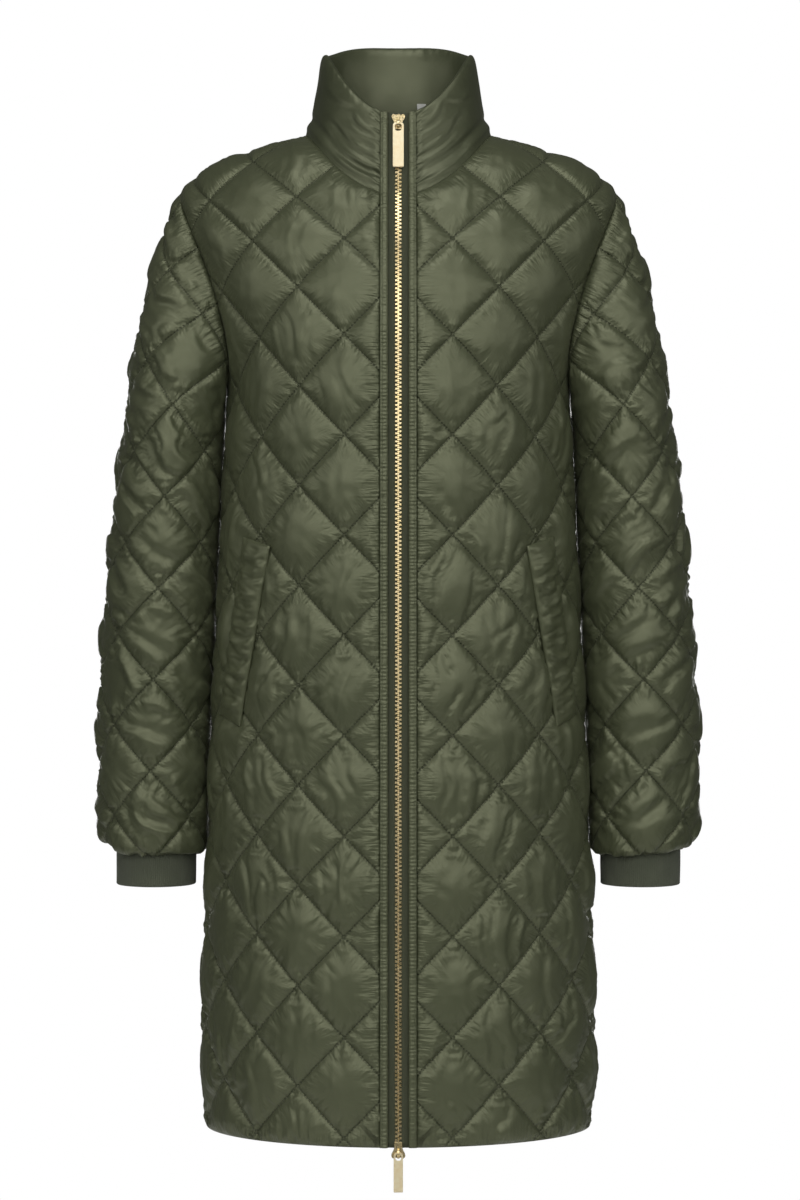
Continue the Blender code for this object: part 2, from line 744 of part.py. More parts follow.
# ---------------------------------------------------------------- zip
def centre_front(z):
    """Distance of the zip's line in front of the origin, collar included."""
    foot = neck_point(1, asin(FRONT_EDGE / NECK_HALF))
    if z < foot.z:
        return DEPTH[1](z)
    top = collar_top(1, asin(FRONT_EDGE / COLLAR_TOP_HALF))
    return DEPTH[1](foot.z) + (z - foot.z) / (top.z - foot.z) * (-top.y - DEPTH[1](foot.z))


def zip_point(x, z, out):
    return Vector((x, -centre_front(z), z)) + centre_normal(z) * out


def zip_heights(low, high):
    foot = neck_point(1, asin(FRONT_EDGE / NECK_HALF)).z
    rough = [HEM + STRIP_STEP * k for k in range(1, STRIP_ROWS)]
    fine = [foot + NECK_STEP * k for k in range(*NECK_ROWS)]
    inner = [z for z in rough + fine if low + STRIP_END < z < high - STRIP_END]
    return [low] + inner + [high]


def strip(name, heights, section, material, side=1):
    """A strip along the zip, of one section of across and outward places."""
    rings = [[zip_point(x, z, out) for x, out in section] for z in heights]
    return loft(name, rings, material, side)


def extruded(name, outline, thickness, holes=()):
    """A plate from a flat outline, as a mesh; it lies in local X and Y."""
    curve = bpy.data.curves.new(name, "CURVE")
    curve.dimensions = "2D"
    curve.fill_mode = "BOTH"
    curve.extrude = thickness / 2
    for loop in (outline,) + tuple(holes):
        spline = curve.splines.new("POLY")
        spline.points.add(len(loop) - 1)
        for point, (x, y) in zip(spline.points, loop):
            point.co = (x, y, 0, 1)
        spline.use_cyclic_u = True
    thing = bpy.data.objects.new(name, curve)
    bpy.data.collections[COAT].objects.link(thing)
    bpy.context.view_layer.update()
    mesh = bpy.data.meshes.new_from_object(thing.evaluated_get(bpy.context.evaluated_depsgraph_get()))
    bpy.data.objects.remove(thing)
    bm = bmesh.new()
    bm.from_mesh(mesh)
    bpy.data.meshes.remove(mesh)
    bmesh.ops.remove_doubles(bm, verts=bm.verts, dist=0.00001)
    return bm


def part_object(name, bm, material, collection):
    bmesh.ops.triangulate(bm, faces=[f for f in bm.faces if len(f.verts) > 4])
    bmesh.ops.recalc_face_normals(bm, faces=bm.faces)
    mesh = bpy.data.meshes.new(name)
    bm.to_mesh(mesh)
    bm.free()
    mesh.materials.append(material)
    thing = bpy.data.objects.new(name, mesh)
    bpy.data.collections[collection].objects.link(thing)
    return thing


def box(name, low, high, collection):
    bm = bmesh.new()
    bmesh.ops.create_cube(bm, size=1.0)
    size = Vector(high) - Vector(low)
    bmesh.ops.scale(bm, vec=size, verts=bm.verts)
    bmesh.ops.translate(bm, vec=(Vector(high) + Vector(low)) / 2, verts=bm.verts)
    return part_object(name, bm, METALS["gold"], collection)


def slider(name, axis, wide_end):
    """A slider: two plates round the tape, a post between them and a bridge in front.
    wide_end is 1 where the broad end is up. Its origin lies on the pull's axis."""
    low, high = (-SLIDER_SHORT, SLIDER_LONG)
    narrow, broad = (low, high) if wide_end > 0 else (high, low)
    turn = 1 if broad > narrow else -1
    right = [(half, (broad if from_broad else narrow) + turn * up)
             for half, from_broad, up in SLIDER_OUTLINE]
    outline = right + [(-x, y) for x, y in right[::-1]]
    stand = Matrix.Rotation(pi / 2, 4, "X")
    plates = []
    for label, (back, front) in (("front", FRONT_PLATE), ("back", BACK_PLATE)):
        bm = extruded(name + label, outline, front - back)
        bmesh.ops.transform(bm, matrix=stand, verts=bm.verts)
        bmesh.ops.translate(bm, vec=(0, -(front + back) / 2, 0), verts=bm.verts)
        plates.append(bm)
    body = part_object(name, plates[0], METALS["gold"], COAT)
    joined = [part_object(name + "_back", plates[1], METALS["gold"], CUTTERS)]
    half, back, front = POST
    low, high = POST_ENDS
    joined.append(box(name + "_post", (-half, -front, low), (half, -back, high), CUTTERS))
    arch = ARCH + tuple((-x, y) for x, y in ARCH[::-1])
    bm = extruded(name + "_arch", arch, 2 * BRIDGE_HALF)
    to_front = Matrix(((0, 0, 1, 0), (0, -1, 0, 0), (1, 0, 0, 0), (0, 0, 0, 1)))
    bmesh.ops.transform(bm, matrix=to_front, verts=bm.verts)
    joined.append(part_object(name + "_bridge", bm, METALS["gold"], CUTTERS))
    for other in joined:
        other.hide_render = True
        other.display_type = "WIRE"
        other.matrix_world = axis
        union = body.modifiers.new("union", "BOOLEAN")
        union.operation = "UNION"
        union.object = other
    body.matrix_world = axis
    return body


def arched(half, low, high, head, foot, steps=3):
    """A rectangle whose upper corners are rounded by head and lower ones by foot."""
    corners = ((half - head, high - head, head, 0.0), (head - half, high - head, head, pi / 2),
               (foot - half, low + foot, foot, pi), (half - foot, low + foot, foot, 1.5 * pi))
    loop = []
    for x, y, radius, start in corners:
        for k in range(steps + 1):
            angle = start + pi / 2 * k / steps
            loop.append((x + radius * cos(angle), y + radius * sin(angle)))
    return loop


def pull(name, axis, size):
    """A flat pull tab with an arched head and a hole for the bridge; its origin lies
    on its axis."""
    outline = arched(size.half, -size.length, PULL_BAR, PULL_HEAD_RADIUS, PULL_FOOT_RADIUS)
    round_hole = size.hole_half * 0.8
    hole = arched(size.hole_half, -size.hole_low, -PULL_BAR, round_hole, round_hole)
    bm = extruded(name, outline, PULL_THICK, (hole,))
    bmesh.ops.transform(bm, matrix=Matrix.Rotation(pi / 2, 4, "X"), verts=bm.verts)
    tab = part_object(name, bm, METALS["gold"], COAT)
    tab.matrix_world = axis
    return tab


def zip_axis(z):
    """The frame of a pull's axis: in front of the zip, leaning with the cloth."""
    normal = centre_normal(z)
    lean = atan2(normal.z, -normal.y)
    spot = Vector((0, -centre_front(z), z)) + normal * AXIS_OUT
    return Matrix.Translation(spot) @ Matrix.Rotation(-lean, 4, "X")


# ---------------------------------------------------------------- the coat's pieces
def make_body(fabric):
    welt, welt_line = welt_creases()
    front = Piece(front_outline(), [welt, welt_line], FRONT_START, BODY_CELL, PUFF,
                  lambda s, t: on_body(s, t, 1), lambda p: Vector((p.x, p.y, 0.05)))
    back = Piece(back_outline(), [], BACK_START, BODY_CELL, PUFF,
                 lambda s, t: on_body(s, t, -1), lambda p: Vector((p.x, p.y, 0.05)))
    sleeve = Piece(sleeve_outline(), sleeve_creases(), SLEEVE_START, SLEEVE_CELL,
                   SLEEVE_PUFF, on_sleeve, sleeve_outward)
    front.keep_clear(sleeve)
    sleeve.keep_clear(front)
    sleeve.keep_clear(back)
    back.keep_clear(sleeve)
    mirror = Mirrored(sleeve)
    back.keep_clear(mirror)
    seam = pi * SLEEVE_RADIUS - 1e-6
    for label, side in (("left", 1), ("right", -1)):
        thick(front, "front_" + label, fabric, side)
        thick(sleeve, "sleeve_" + label, fabric, side, lambda k: abs(sleeve.flat[k][0]) > seam)
        make_welt(front, welt, welt_line, label, side)
    thick(back, "back", fabric, 1)


class Mirrored:
    """The mirror image of a piece, for measuring to it."""

    def __init__(self, piece):
        self.points = [Vector((-p.x, p.y, p.z)) for p in piece.points]
        self.triangles = piece.triangles


def sleeve_outward(spot):
    """Roughly outward at a point of the sleeve, and down under its hem."""
    middle = sleeve_ring(0, max(min(spot.z, SLEEVE_TOP), SLEEVE_HEM))
    middle = (middle + sleeve_ring(pi, max(min(spot.z, SLEEVE_TOP), SLEEVE_HEM))) / 2
    if spot.z > SLEEVE_TOP:
        return spot - Vector((0.175, 0.0, -0.22))
    down = -0.08 if spot.z < SLEEVE_HEM + HEM_RISE - 0.004 else 0.0
    return Vector((spot.x - middle[0], spot.y - middle[1], down))


def thick(piece, name, fabric, side, joined=None):
    low = [-WALL] * len(piece.points)
    wall(name, piece.points, piece.normals, low, piece.rise, piece.triangles, fabric, side, joined)


def make_welt(front, ring, line, label, side):
    """A padded strip laid on the front, over the same points."""
    corners = ring[:-1]
    tris = []
    for tri in front.triangles:
        middle = np.mean([front.flat[k] for k in tri], axis=0)
        if inside(middle, corners):
            tris.append(tri)
    crown = {tuple(spot) for spot in line}
    low = [GAP] * len(front.points)
    high = [GAP + (WELT_CROWN if tuple(spot) in crown else WELT_EDGE) for spot in front.flat]
    name = "pocket_welt_" + label
    wall(name, front.points, front.normals, low, high, tris, FABRICS["plain"], side)


def make_collar(fabric):
    """The stand collar: padded sections from one front edge round to the other."""
    sections = []
    for face, foot, top in neck_turns():
        base, rise, normal = collar_frame(face, foot, top)
        upward, seam = neck_seam(face, foot, top)
        base = base + upward * GAP / 2
        near_front = face > 0 and base.x < FRONT_EDGE + 0.001
        fill = COLLAR_EDGE_FILL if near_front else 1.0
        section = [base]
        for pad in COLLAR_PAD:
            out = (pad.out - COLLAR_MIDDLE) * fill + COLLAR_MIDDLE
            section.append(base + rise * pad.up + normal * out)
        section.append(base - seam * WALL)
        sections.append(section)
    mirror = Vector((-1, 1, 1))
    whole = [[spot * mirror for spot in section] for section in sections]
    loft("collar", whole + sections[-2::-1], fabric)
    return sections


def make_label(sections):
    """A small blank tab on the inner face of the collar's back."""
    first, second = sections[-3], sections[-2]
    inner = [len(COLLAR_PAD), len(COLLAR_PAD) - 1]
    corners = []
    for section in (first, second):
        corners.append([section[inner[0]], section[inner[1]]])
    across = corners[0][0] - corners[1][0]
    width = across.length
    low, high = corners[1]
    upward = (high - low).normalized()
    normal = across.cross(upward).normalized()
    if normal.y > 0:
        normal = -normal
    spots = []
    left, right, foot, top = LABEL
    for side, rise in ((left, foot), (right, foot), (right, top), (left, top)):
        spots.append(low + across / width * side + upward * rise)
    rings = [[spot + normal * out for spot in spots] for out in LABEL_OUT]
    loft("neck_label", rings, FABRICS["label"])


def make_cuff(label, side):
    """A ribbed tube, held by the turned-in hem and hidden above it."""
    columns = 2 * CUFF_RIBS
    rings = []
    for row in CUFF:
        ring = []
        for k in range(columns):
            ridge = CUFF_RIB if k % 2 else 0.0
            spot = cuff_ring(2 * pi * k / columns, row.z, ridge)
            ring.append(Vector((spot[0], spot[1], row.z)))
        rings.append(ring)
    for row in CUFF[::-1]:
        ring = []
        for k in range(columns):
            spot = cuff_ring(2 * pi * k / columns, row.z, -CUFF_WALL)
            ring.append(Vector((spot[0], spot[1], row.z)))
        rings.append(ring)
    loft("cuff_" + label, rings, FABRICS["rib"], side, closed=True)


def make_zip():
    foot = zip_axis(BOTTOM_AXIS_Z)
    head = zip_axis(TOP_AXIS_Z)
    lean = centre_normal(TOP_AXIS_Z).y
    chain_top = TOP_AXIS_Z + (SLIDER_SHORT + GAP) * lean
    chain_bottom = BOTTOM_AXIS_Z + SLIDER_LONG + GAP
    back, front = CHAIN_DEPTH
    section = ((-CHAIN_HALF, back), (CHAIN_HALF, back), (CHAIN_HALF, front), (-CHAIN_HALF, front))
    strip("zip_chain", zip_heights(chain_bottom, chain_top), section, METALS["gold"])
    back, edge_out, crown = BAND_DEPTH
    middle = sum(BAND) / 2
    band = ((BAND[0], back), (BAND[1], back), (BAND[1], edge_out), (middle, crown), (BAND[0], edge_out))
    back, front = TAPE_DEPTH
    tape = ((TAPE[0], back), (TAPE[1], back), (TAPE[1], front), (TAPE[0], front))
    for label, side in (("left", 1), ("right", -1)):
        strip("band_" + label, zip_heights(HEM, ZIP_TOP), band, FABRICS["plain"], side)
        strip("zip_tape_" + label, zip_heights(HEM, ZIP_TOP), tape, FABRICS["tape"], side)
    slider("slider_top", head, 1)
    pull("pull_top", head, PULL_TOP)
    slider("slider_bottom", foot, -1)
    pull("pull_bottom", foot, PULL_BOTTOM)


def main():
    for thing in list(bpy.data.objects):
        bpy.data.objects.remove(thing)
    for label in (COAT, CUTTERS):
        bpy.context.scene.collection.children.link(bpy.data.collections.new(label))
    FABRICS["plain"] = principled("olive_cloth", OLIVE, 0.42)
    FABRICS["rib"] = principled("olive_rib", OLIVE_RIB, 0.85)
    FABRICS["tape"] = principled("olive_tape", OLIVE_TAPE, 0.8)
    FABRICS["label"] = principled("pale_label", PALE, 0.7)
    METALS["gold"] = principled("gold_metal", GOLD, 0.25, 1.0)
    quilted = principled("olive_quilted", OLIVE, 0.4)
    make_body(quilted)
    make_label(make_collar(FABRICS["plain"]))
    for label, side in (("left", 1), ("right", -1)):
        make_cuff(label, side)
    make_zip()


main()
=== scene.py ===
"""Looks of the quilted long coat: satin quilting, ribbed cuffs and a gold two-way zip.

Metres, +Z up, +X to the wearer's left, -Y to the front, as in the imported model.
The worn form repeats the construction's surfaces. Each quilted piece is cut in the flat
on a fine grid that runs along its stitch lines, laid on the worn form, and filled out
as cloth that is a little too large for it and held at every stitch.
"""
from collections import namedtuple
from math import asin, atan2, cos, exp, pi, radians, sin

import bmesh
import bpy
import numpy as np
from mathutils import Matrix, Vector, noise
from mathutils.bvhtree import BVHTree
from mathutils.geometry import delaunay_2d_cdt


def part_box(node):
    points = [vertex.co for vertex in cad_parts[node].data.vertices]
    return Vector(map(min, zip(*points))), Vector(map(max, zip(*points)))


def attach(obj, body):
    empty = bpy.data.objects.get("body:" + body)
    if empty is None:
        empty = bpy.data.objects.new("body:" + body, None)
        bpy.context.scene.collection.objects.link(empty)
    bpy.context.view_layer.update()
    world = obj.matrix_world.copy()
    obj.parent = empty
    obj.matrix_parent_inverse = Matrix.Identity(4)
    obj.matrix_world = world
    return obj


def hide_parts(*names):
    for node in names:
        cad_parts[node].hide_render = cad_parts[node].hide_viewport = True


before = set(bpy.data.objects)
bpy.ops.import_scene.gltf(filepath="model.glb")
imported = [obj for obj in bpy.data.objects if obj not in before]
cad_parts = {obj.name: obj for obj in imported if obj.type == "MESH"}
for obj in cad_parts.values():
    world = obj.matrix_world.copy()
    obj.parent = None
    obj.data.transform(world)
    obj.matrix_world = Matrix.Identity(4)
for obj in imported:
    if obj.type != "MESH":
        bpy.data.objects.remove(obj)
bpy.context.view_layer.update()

# ---------------------------------------------------------------- driving sizes
SIDES = (("left", 1), ("right", -1))
FLIP = Vector((-1, 1, 1))
TINY = 1e-6
NEARLY_SIDE = radians(89)
GAP = 0.0003
WALL = 0.003
HEM = -0.928
ARMPIT = -0.235
SHOULDER_TIP = -0.055
NECK_BACK = 0.006          # height of the neck seam at the centre back
NECK_DROP = -0.0665        # and at the centre front, relative to the shoulder seam
NECK_HALF = 0.087
FRONT_EDGE = 0.016         # the quilted fronts start this far from the centre line
DIAMOND_WIDTH = 0.089
DIAMOND_HEIGHT = 0.0905
BODY_CELL = (DIAMOND_WIDTH / 4, DIAMOND_HEIGHT / 4)
FRONT_START = (0.005, -0.4679)   # a diamond's centre, in cloth coordinates
BACK_START = (0.0, -0.4679)
SLEEVE_RADIUS = 2 * DIAMOND_WIDTH / pi          # four diamonds go round a sleeve
SLEEVE_CELL = (DIAMOND_WIDTH / 4, 0.0845 / 4)
SLEEVE_START = (SLEEVE_RADIUS * pi / 2, -0.425 - 0.0845 / 2)
Section = namedtuple("Section", "z half_width front back")
BODY = (
    Section(-0.928, 0.1800, 0.1390, 0.1240),
    Section(-0.832, 0.1825, 0.1400, 0.1240),
    Section(-0.750, 0.1805, 0.1390, 0.1225),
    Section(-0.678, 0.1785, 0.1380, 0.1210),
    Section(-0.571, 0.1755, 0.1360, 0.1200),
    Section(-0.490, 0.1720, 0.1355, 0.1205),
    Section(-0.363, 0.1660, 0.1360, 0.1240),
    Section(-0.280, 0.1620, 0.1370, 0.1280),
    Section(-0.235, 0.1610, 0.1360, 0.1300),
    Section(-0.200, 0.1680, 0.1340, 0.1305),
    Section(-0.168, 0.1780, 0.1300, 0.1300),
    Section(-0.138, 0.1880, 0.1245, 0.1275),
    Section(-0.110, 0.1980, 0.1170, 0.1225),
    Section(-0.085, 0.2060, 0.1070, 0.1165),
    Section(-0.055, 0.2050, 0.0900, 0.1050),
    Section(-0.036, 0.1830, 0.0765, 0.0950),
    Section(-0.020, 0.1500, 0.0640, 0.0850),
    Section(-0.008, 0.1120, 0.0500, 0.0730),
    Section(0.0000, 0.0870, 0.0400, 0.0640),
    Section(0.0060, 0.0700, 0.0330, 0.0570),
)

# Armhole: a loop of ARM_STEPS stretches in front and as many behind
ARM_STEPS = 48
ARM_MIDDLE = (ARMPIT + SHOULDER_TIP) / 2
ARM_HALF = (SHOULDER_TIP - ARMPIT) / 2
ARM_BITE = {1: radians(22.0), -1: radians(20.0)}   # how far it cuts into front, back
ARM_SQUARE = 0.6                                   # squareness of the loop's ends
ARM_FALL = 0.35                                    # how the sleeve falls off at the shoulder
ARM_ACROSS = 0.18                                  # the loop's middle, from the centre line

# Sleeve below SLEEVE_TOP: outer and inner edge, and depth before and behind
SleeveRing = namedtuple("SleeveRing", "z outer inner front back")
SLEEVE = (
    SleeveRing(-0.680, 0.2750, 0.1815, 0.0520, 0.0560),
    SleeveRing(-0.661, 0.2780, 0.1796, 0.0540, 0.0590),
    SleeveRing(-0.605, 0.2800, 0.1780, 0.0560, 0.0670),
    SleeveRing(-0.540, 0.2795, 0.1755, 0.0580, 0.0720),
    SleeveRing(-0.445, 0.2740, 0.1712, 0.0620, 0.0740),
    SleeveRing(-0.353, 0.2655, 0.1668, 0.0660, 0.0730),
    SleeveRing(-0.270, 0.2555, 0.1632, 0.0680, 0.0700),
    SleeveRing(-0.200, 0.2450, 0.1620, 0.0680, 0.0690),
)
SLEEVE_TOP = -0.270
CAP_OUT = (0.12, 0.14)     # how fast the cap leaves the armhole outwards, at least and more
CAP_FORWARD = 0.25         # and to the front and back
CAP_STEP = 0.002
SLEEVE_HEM = -0.667
HEM_RISE = 0.010           # the hem is higher on the sleeve's outer side
HEM_TURN = 0.005           # radius at which the hem turns in
HEM_SHELF = 0.006          # cloth from the turn to the cuff
LIP_CLEAR = 0.0018         # from the cuff to the corners of the hem's lip

CUFF_WALL = 0.0022
CuffRing = namedtuple("CuffRing", "z half_width half_depth")
CUFF = (
    CuffRing(-0.7025, 0.0368, 0.0438),
    CuffRing(-0.6720, 0.0370, 0.0440),
    CuffRing(-0.6450, 0.0360, 0.0430),
)
CUFF_CENTRE = (0.2275, 0.0020)

# Collar: heights of its top edge, and its padded section
COLLAR_TOP_HALF = 0.0705
COLLAR_TOP_FRONT = 0.0760
COLLAR_TOP_BACK = 0.0600
COLLAR_SIDE_Z = 0.0765
COLLAR_CORNER = 3.6         # how squarely the top edge turns at the sides of the back
COLLAR_FRONT_Z = 0.0105
COLLAR_BACK_Z = 0.0920
FRONT_STATIONS = 90
BACK_STATIONS = 60
Pad = namedtuple("Pad", "up out")
COLLAR_PAD = (
    Pad(0.16, -0.0018), Pad(0.50, -0.0012), Pad(0.82, 0.0008), Pad(0.96, 0.0002),
    Pad(1.00, -0.0030),
    Pad(0.96, -0.0066), Pad(0.82, -0.0095), Pad(0.50, -0.0108), Pad(0.16, -0.0080),
)
COLLAR_MIDDLE = -0.0026
COLLAR_EDGE_FILL = 0.55

# Zip: edges across, and depths outwards from the line of the fronts
BAND = (0.0092, 0.0157)
BAND_LADDER = 0.00155      # from one short pucker of a band to the next
BAND_LAP = 0.0008          # how far a band reaches over the front beside it
BAND_PINCH = 0.0004        # how deep its stitches lie
BAND_POINTS = 12
BAND_DEPTH = (-0.0010, 0.0012, 0.0022)
TAPE = (0.0033, 0.0154)
TAPE_CORD = 0.0003         # the tape's inner edge, which carries the teeth
TAPE_DEPTH = (-0.0023, -0.0013)
CHAIN_HALF = 0.0030
CHAIN_DEPTH = (-0.0032, -0.0004)
ZIP_TOP = 0.0115

# Sliders and pulls, measured from the pull's axis
AXIS_OUT = 0.0025
TOP_AXIS_Z = 0.0
BOTTOM_AXIS_Z = -0.9325
SLIDER_SHORT = 0.0050
SLIDER_LONG = 0.0100
FRONT_PLATE = (-0.0035, -0.0017)
BACK_PLATE = (-0.0067, -0.0051)
# the plates' right side: half width, 1 if from the broad end, and how far up from it
SLIDER_OUTLINE = ((0.0036, 0, 0.0), (0.0038, 1, -0.0085), (0.0058, 1, -0.0042),
                  (0.0062, 1, -0.0018), (0.0048, 1, 0.0))
POST = (0.0027, -0.0052, -0.0034)
POST_ENDS = (-0.0030, 0.0060)
# the arch that holds the pull: its outer and inner half heights, up and out
ARCH = ((0.0042, 0.0051), (0.0030, 0.0039))
ARCH_FOOT = -0.0022
ARCH_STEPS = 14
BRIDGE_HALF = 0.0012
Pull = namedtuple("Pull", "half length hole_half hole_low")
PULL_TOP = Pull(0.0050, 0.0432, 0.0032, 0.0078)
PULL_BOTTOM = Pull(0.0042, 0.0350, 0.0026, 0.0066)
PULL_THICK = 0.0018
PULL_BAR = 0.00095          # half the bar that turns in the bridge
PULL_HEAD_RADIUS = 0.0036
PULL_FOOT_RADIUS = 0.0008

# Pocket welts: the corners, as seen from the front
WELT = ((0.116, -0.387), (0.144, -0.552), (0.164, -0.542), (0.141, -0.378))
WELT_PIECES = 7
WELT_EDGE = 0.0025
WELT_CROWN = 0.0060
WELT_STITCH = 0.86         # where its topstitching runs, across it
WELT_PINCH = 0.0012
WELT_WRINKLES = (0.0034, 0.0012)
WELT_GRID = (110, 16)

# Points along the pieces' edges, and the rows of the sleeve hem's lip
HEM_STEPS = 60
SIDE_STEPS = 156
SHOULDER_STEPS = 40
EDGE_STEPS = 200
SLEEVE_STEPS = 96
LIP_ROWS = (0, 0.2, 0.42, 0.55, 0.68, 0.84)

# Fineness: grid cells across a diamond, of the outer cloth and of the lining
CELLS = 14
INNER_CELLS = 4

# How the quilting fills out
Swell = namedtuple("Swell", "grow pressure puff")
BODY_SWELL = Swell((1.050, 1.050, 1.055), 7.0, 0.009)
SLEEVE_SWELL = Swell((1.050, 1.050, 1.11), 5.0, 0.008)
Pucker = namedtuple("Pucker", "grain reach depth corner wave fold fold_gap lean seam calm_from calm")
BODY_PUCKER = Pucker(0.0046, 0.0048, 0.0014, 0.0014, 0.0018, 0.0018, 0.0080, 0.0, 0.0012,
                     (0.0, 5.0, 8.0), (1.35, 0.8, 0.35))
SLEEVE_PUCKER = Pucker(0.0046, 0.0060, 0.0018, 0.0014, 0.0066, 0.0026, 0.0095, -0.9, 0.0012,
                       (0.0, 7.0), (1.3, 1.1))
DEEPEST = 0.0040           # no pucker or fold goes deeper, or stands higher
HIGHEST = 0.0016
HALF_ROOT = 0.7            # from a diamond's sides to its diagonals
FAN = 0.55                 # how much the puckers widen up to the diamond's middle
CORNER_NEAR = 0.012        # puckers are stronger this near to a crossing
FOLD_RIDGE = 0.0021        # widths of a corner fold and of the hollow beside it
FOLD_HOLLOW = 0.0026
FOLD_RUN = 0.040           # length of a long fold, and how far it bends
FOLD_BEND = 0.008
LEAN_DRIFT = 0.25
LADDER_GRAIN = 0.0034      # puckers along the seams: from one to the next, and their reach
LADDER_REACH = 0.004
LOWEST = -0.0006           # how far the cloth may lie below its stitched level
SEAM_CLOSE = -0.2          # of the gap at a seam, which the cloth closes
DIAMOND_SIDE = ((DIAMOND_WIDTH / 2) ** 2 + (DIAMOND_HEIGHT / 2) ** 2) ** 0.5
STITCH_SINK = 0.0008       # how far the stitch lines are pressed in
SETTLING_FRAMES = 26
START_SHARE = 0.7          # of its puff that a diamond starts with
SHAKE = 0.0012
SHAKE_SCALE = 90
CLOTH_SETTINGS = {"quality": 4, "mass": 0.15, "air_damping": 4.0, "tension_stiffness": 15,
                  "compression_stiffness": 15, "shear_stiffness": 5, "bending_stiffness": 0.05}
GRID_CLEAR = 0.45 * 2 * 1.4   # of a grid step, between the grid and a piece's edge
CROWN_SQUARE = 0.6
HOLD_ROUND = 0.0015        # cloth this near to the welt is held as well
ROOM_CLEAR = 0.001
ROOM_FREE = 0.004          # room that leaves a point free to pucker
CREASE = 0.8
SEAM_RISE = 0.014          # distance over which a puff rises from a seam
WELT_RISE = 0.010
TALLEST = 0.0150           # no point of the quilting stands prouder than this
SHARE_OF_ROOM = 0.45       # what each of two neighbours takes of the room between them


# ---------------------------------------------------------------- the worn form
def cubic(u, start, leave, end, arrive):
    """A cubic between two values, with its slopes at both ends."""
    head = start * (1 + 2 * u) * (1 - u) ** 2 + leave * u * (1 - u) ** 2
    return head + (end * u * u * (3 - 2 * u) + arrive * u * u * (u - 1))


def curve_through(rows, column):
    """A smooth function of z through one column of a table."""
    ordered = sorted(rows, key=lambda row: row.z)
    heights = np.array([row.z for row in ordered])
    values = np.array([getattr(row, column) for row in ordered])
    slopes = np.gradient(values, heights)

    def value(z):
        k = int(np.clip(np.searchsorted(heights, z) - 1, 0, len(heights) - 2))
        span = heights[k + 1] - heights[k]
        u = (z - heights[k]) / span
        return float(cubic(u, values[k], slopes[k] * span, values[k + 1], slopes[k + 1] * span))

    return value


half_width = curve_through(BODY, "half_width")
DEPTH = {1: curve_through(BODY, "front"), -1: curve_through(BODY, "back")}

HEIGHTS = np.linspace(HEM - 0.01, NECK_BACK + 0.003, 500)
FRONTS = np.array([DEPTH[1](z) for z in HEIGHTS])
CLOTH = np.concatenate([[0.0], np.cumsum(np.hypot(np.diff(HEIGHTS), np.diff(FRONTS)))])
CLOTH += FRONT_START[1] - np.interp(FRONT_START[1], HEIGHTS, CLOTH)
ANGLES = np.radians(np.linspace(-20, 110, 131))
MIDDLES = (ANGLES[1:] + ANGLES[:-1]) / 2


def cloth_height(z):
    """The length of cloth up to a height, along the centre front."""
    return float(np.interp(z, HEIGHTS, CLOTH))


def worn_height(t):
    return float(np.interp(t, CLOTH, HEIGHTS))


def girth(z, face):
    """Cloth lengths round the section at z, from the centre to each of ANGLES."""
    steps = np.hypot(half_width(z) * np.cos(MIDDLES), DEPTH[face](z) * np.sin(MIDDLES))
    lengths = np.concatenate([[0.0], np.cumsum(steps * np.diff(ANGLES))])
    return lengths - np.interp(0.0, ANGLES, lengths)


def body_point(angle, z, face):
    """A point of the body; face is 1 for the front and -1 for the back."""
    return Vector((half_width(z) * sin(angle), -face * DEPTH[face](z) * cos(angle), z))


def on_body(s, t, face):
    z = worn_height(t)
    angle = float(np.interp(abs(s), girth(z, face), ANGLES))
    return body_point(angle if s >= 0 else -angle, z, face)


def flat_body(angle, z, face):
    """The cloth coordinates of a point of the body."""
    return float(np.interp(angle, ANGLES, girth(z, face))), cloth_height(z)


def across_to(x, z):
    """The angle at which the section at z reaches x."""
    return asin(min(1.0, x / half_width(z)))


def normal_of(place, s, t, outward):
    """The outward normal of a placed sheet, from its slopes."""
    step = 0.0004
    across = place(s + step, t) - place(s - step, t)
    up = place(s, t + step) - place(s, t - step)
    normal = across.cross(up).normalized()
    return normal if normal.dot(outward) > 0 else -normal


# ---------------------------------------------------------------- seams
def armhole_place(turn):
    """Angle and height on the body at a turn of the armhole: 0 at the shoulder,
    positive in front, half a circle at the armpit."""
    face = 1 if turn >= 0 else -1
    bite = ARM_BITE[face] * abs(sin(turn)) ** ARM_SQUARE
    return pi / 2 - bite, ARM_MIDDLE + ARM_HALF * cos(turn), face


def armhole_point(turn):
    return body_point(*armhole_place(turn))


def armhole_seam(turn):
    """Direction from body to sleeve, and the seam's normal."""
    step = radians(6)
    along = (armhole_point(turn + step) - armhole_point(turn - step)).normalized()
    if abs(turn) > pi - step or abs(turn) < step:
        along = Vector((0, 1, 0))
    outward = Vector((1, 0, -ARM_FALL * (1 + cos(turn))))
    outward = (outward - outward.dot(along) * along).normalized()
    normal = along.cross(outward).normalized()
    if normal.dot(armhole_point(turn) - Vector((ARM_ACROSS, 0, ARM_MIDDLE))) < 0:
        normal = -normal
    return outward, normal


def neck_turns():
    """The collar's stations from the centre front to the centre back: each a face
    of the body and the turns at the foot and at the top of the collar."""
    stations = []
    foot_start = asin(FRONT_EDGE / NECK_HALF)
    top_start = asin(FRONT_EDGE / COLLAR_TOP_HALF)
    for k in range(FRONT_STATIONS):
        share = k / FRONT_STATIONS
        foot = foot_start + (pi / 2 - foot_start) * share
        top = top_start + (pi / 2 - top_start) * share
        stations.append((1, foot, top))
    for k in range(BACK_STATIONS + 1):
        turn = pi / 2 * (1 - k / BACK_STATIONS)
        stations.append((-1, turn, turn))
    return stations


def neck_place(face, turn):
    drop = NECK_DROP if face > 0 else NECK_BACK
    z = drop * cos(turn) ** 2
    return across_to(NECK_HALF * sin(turn), z), z, face


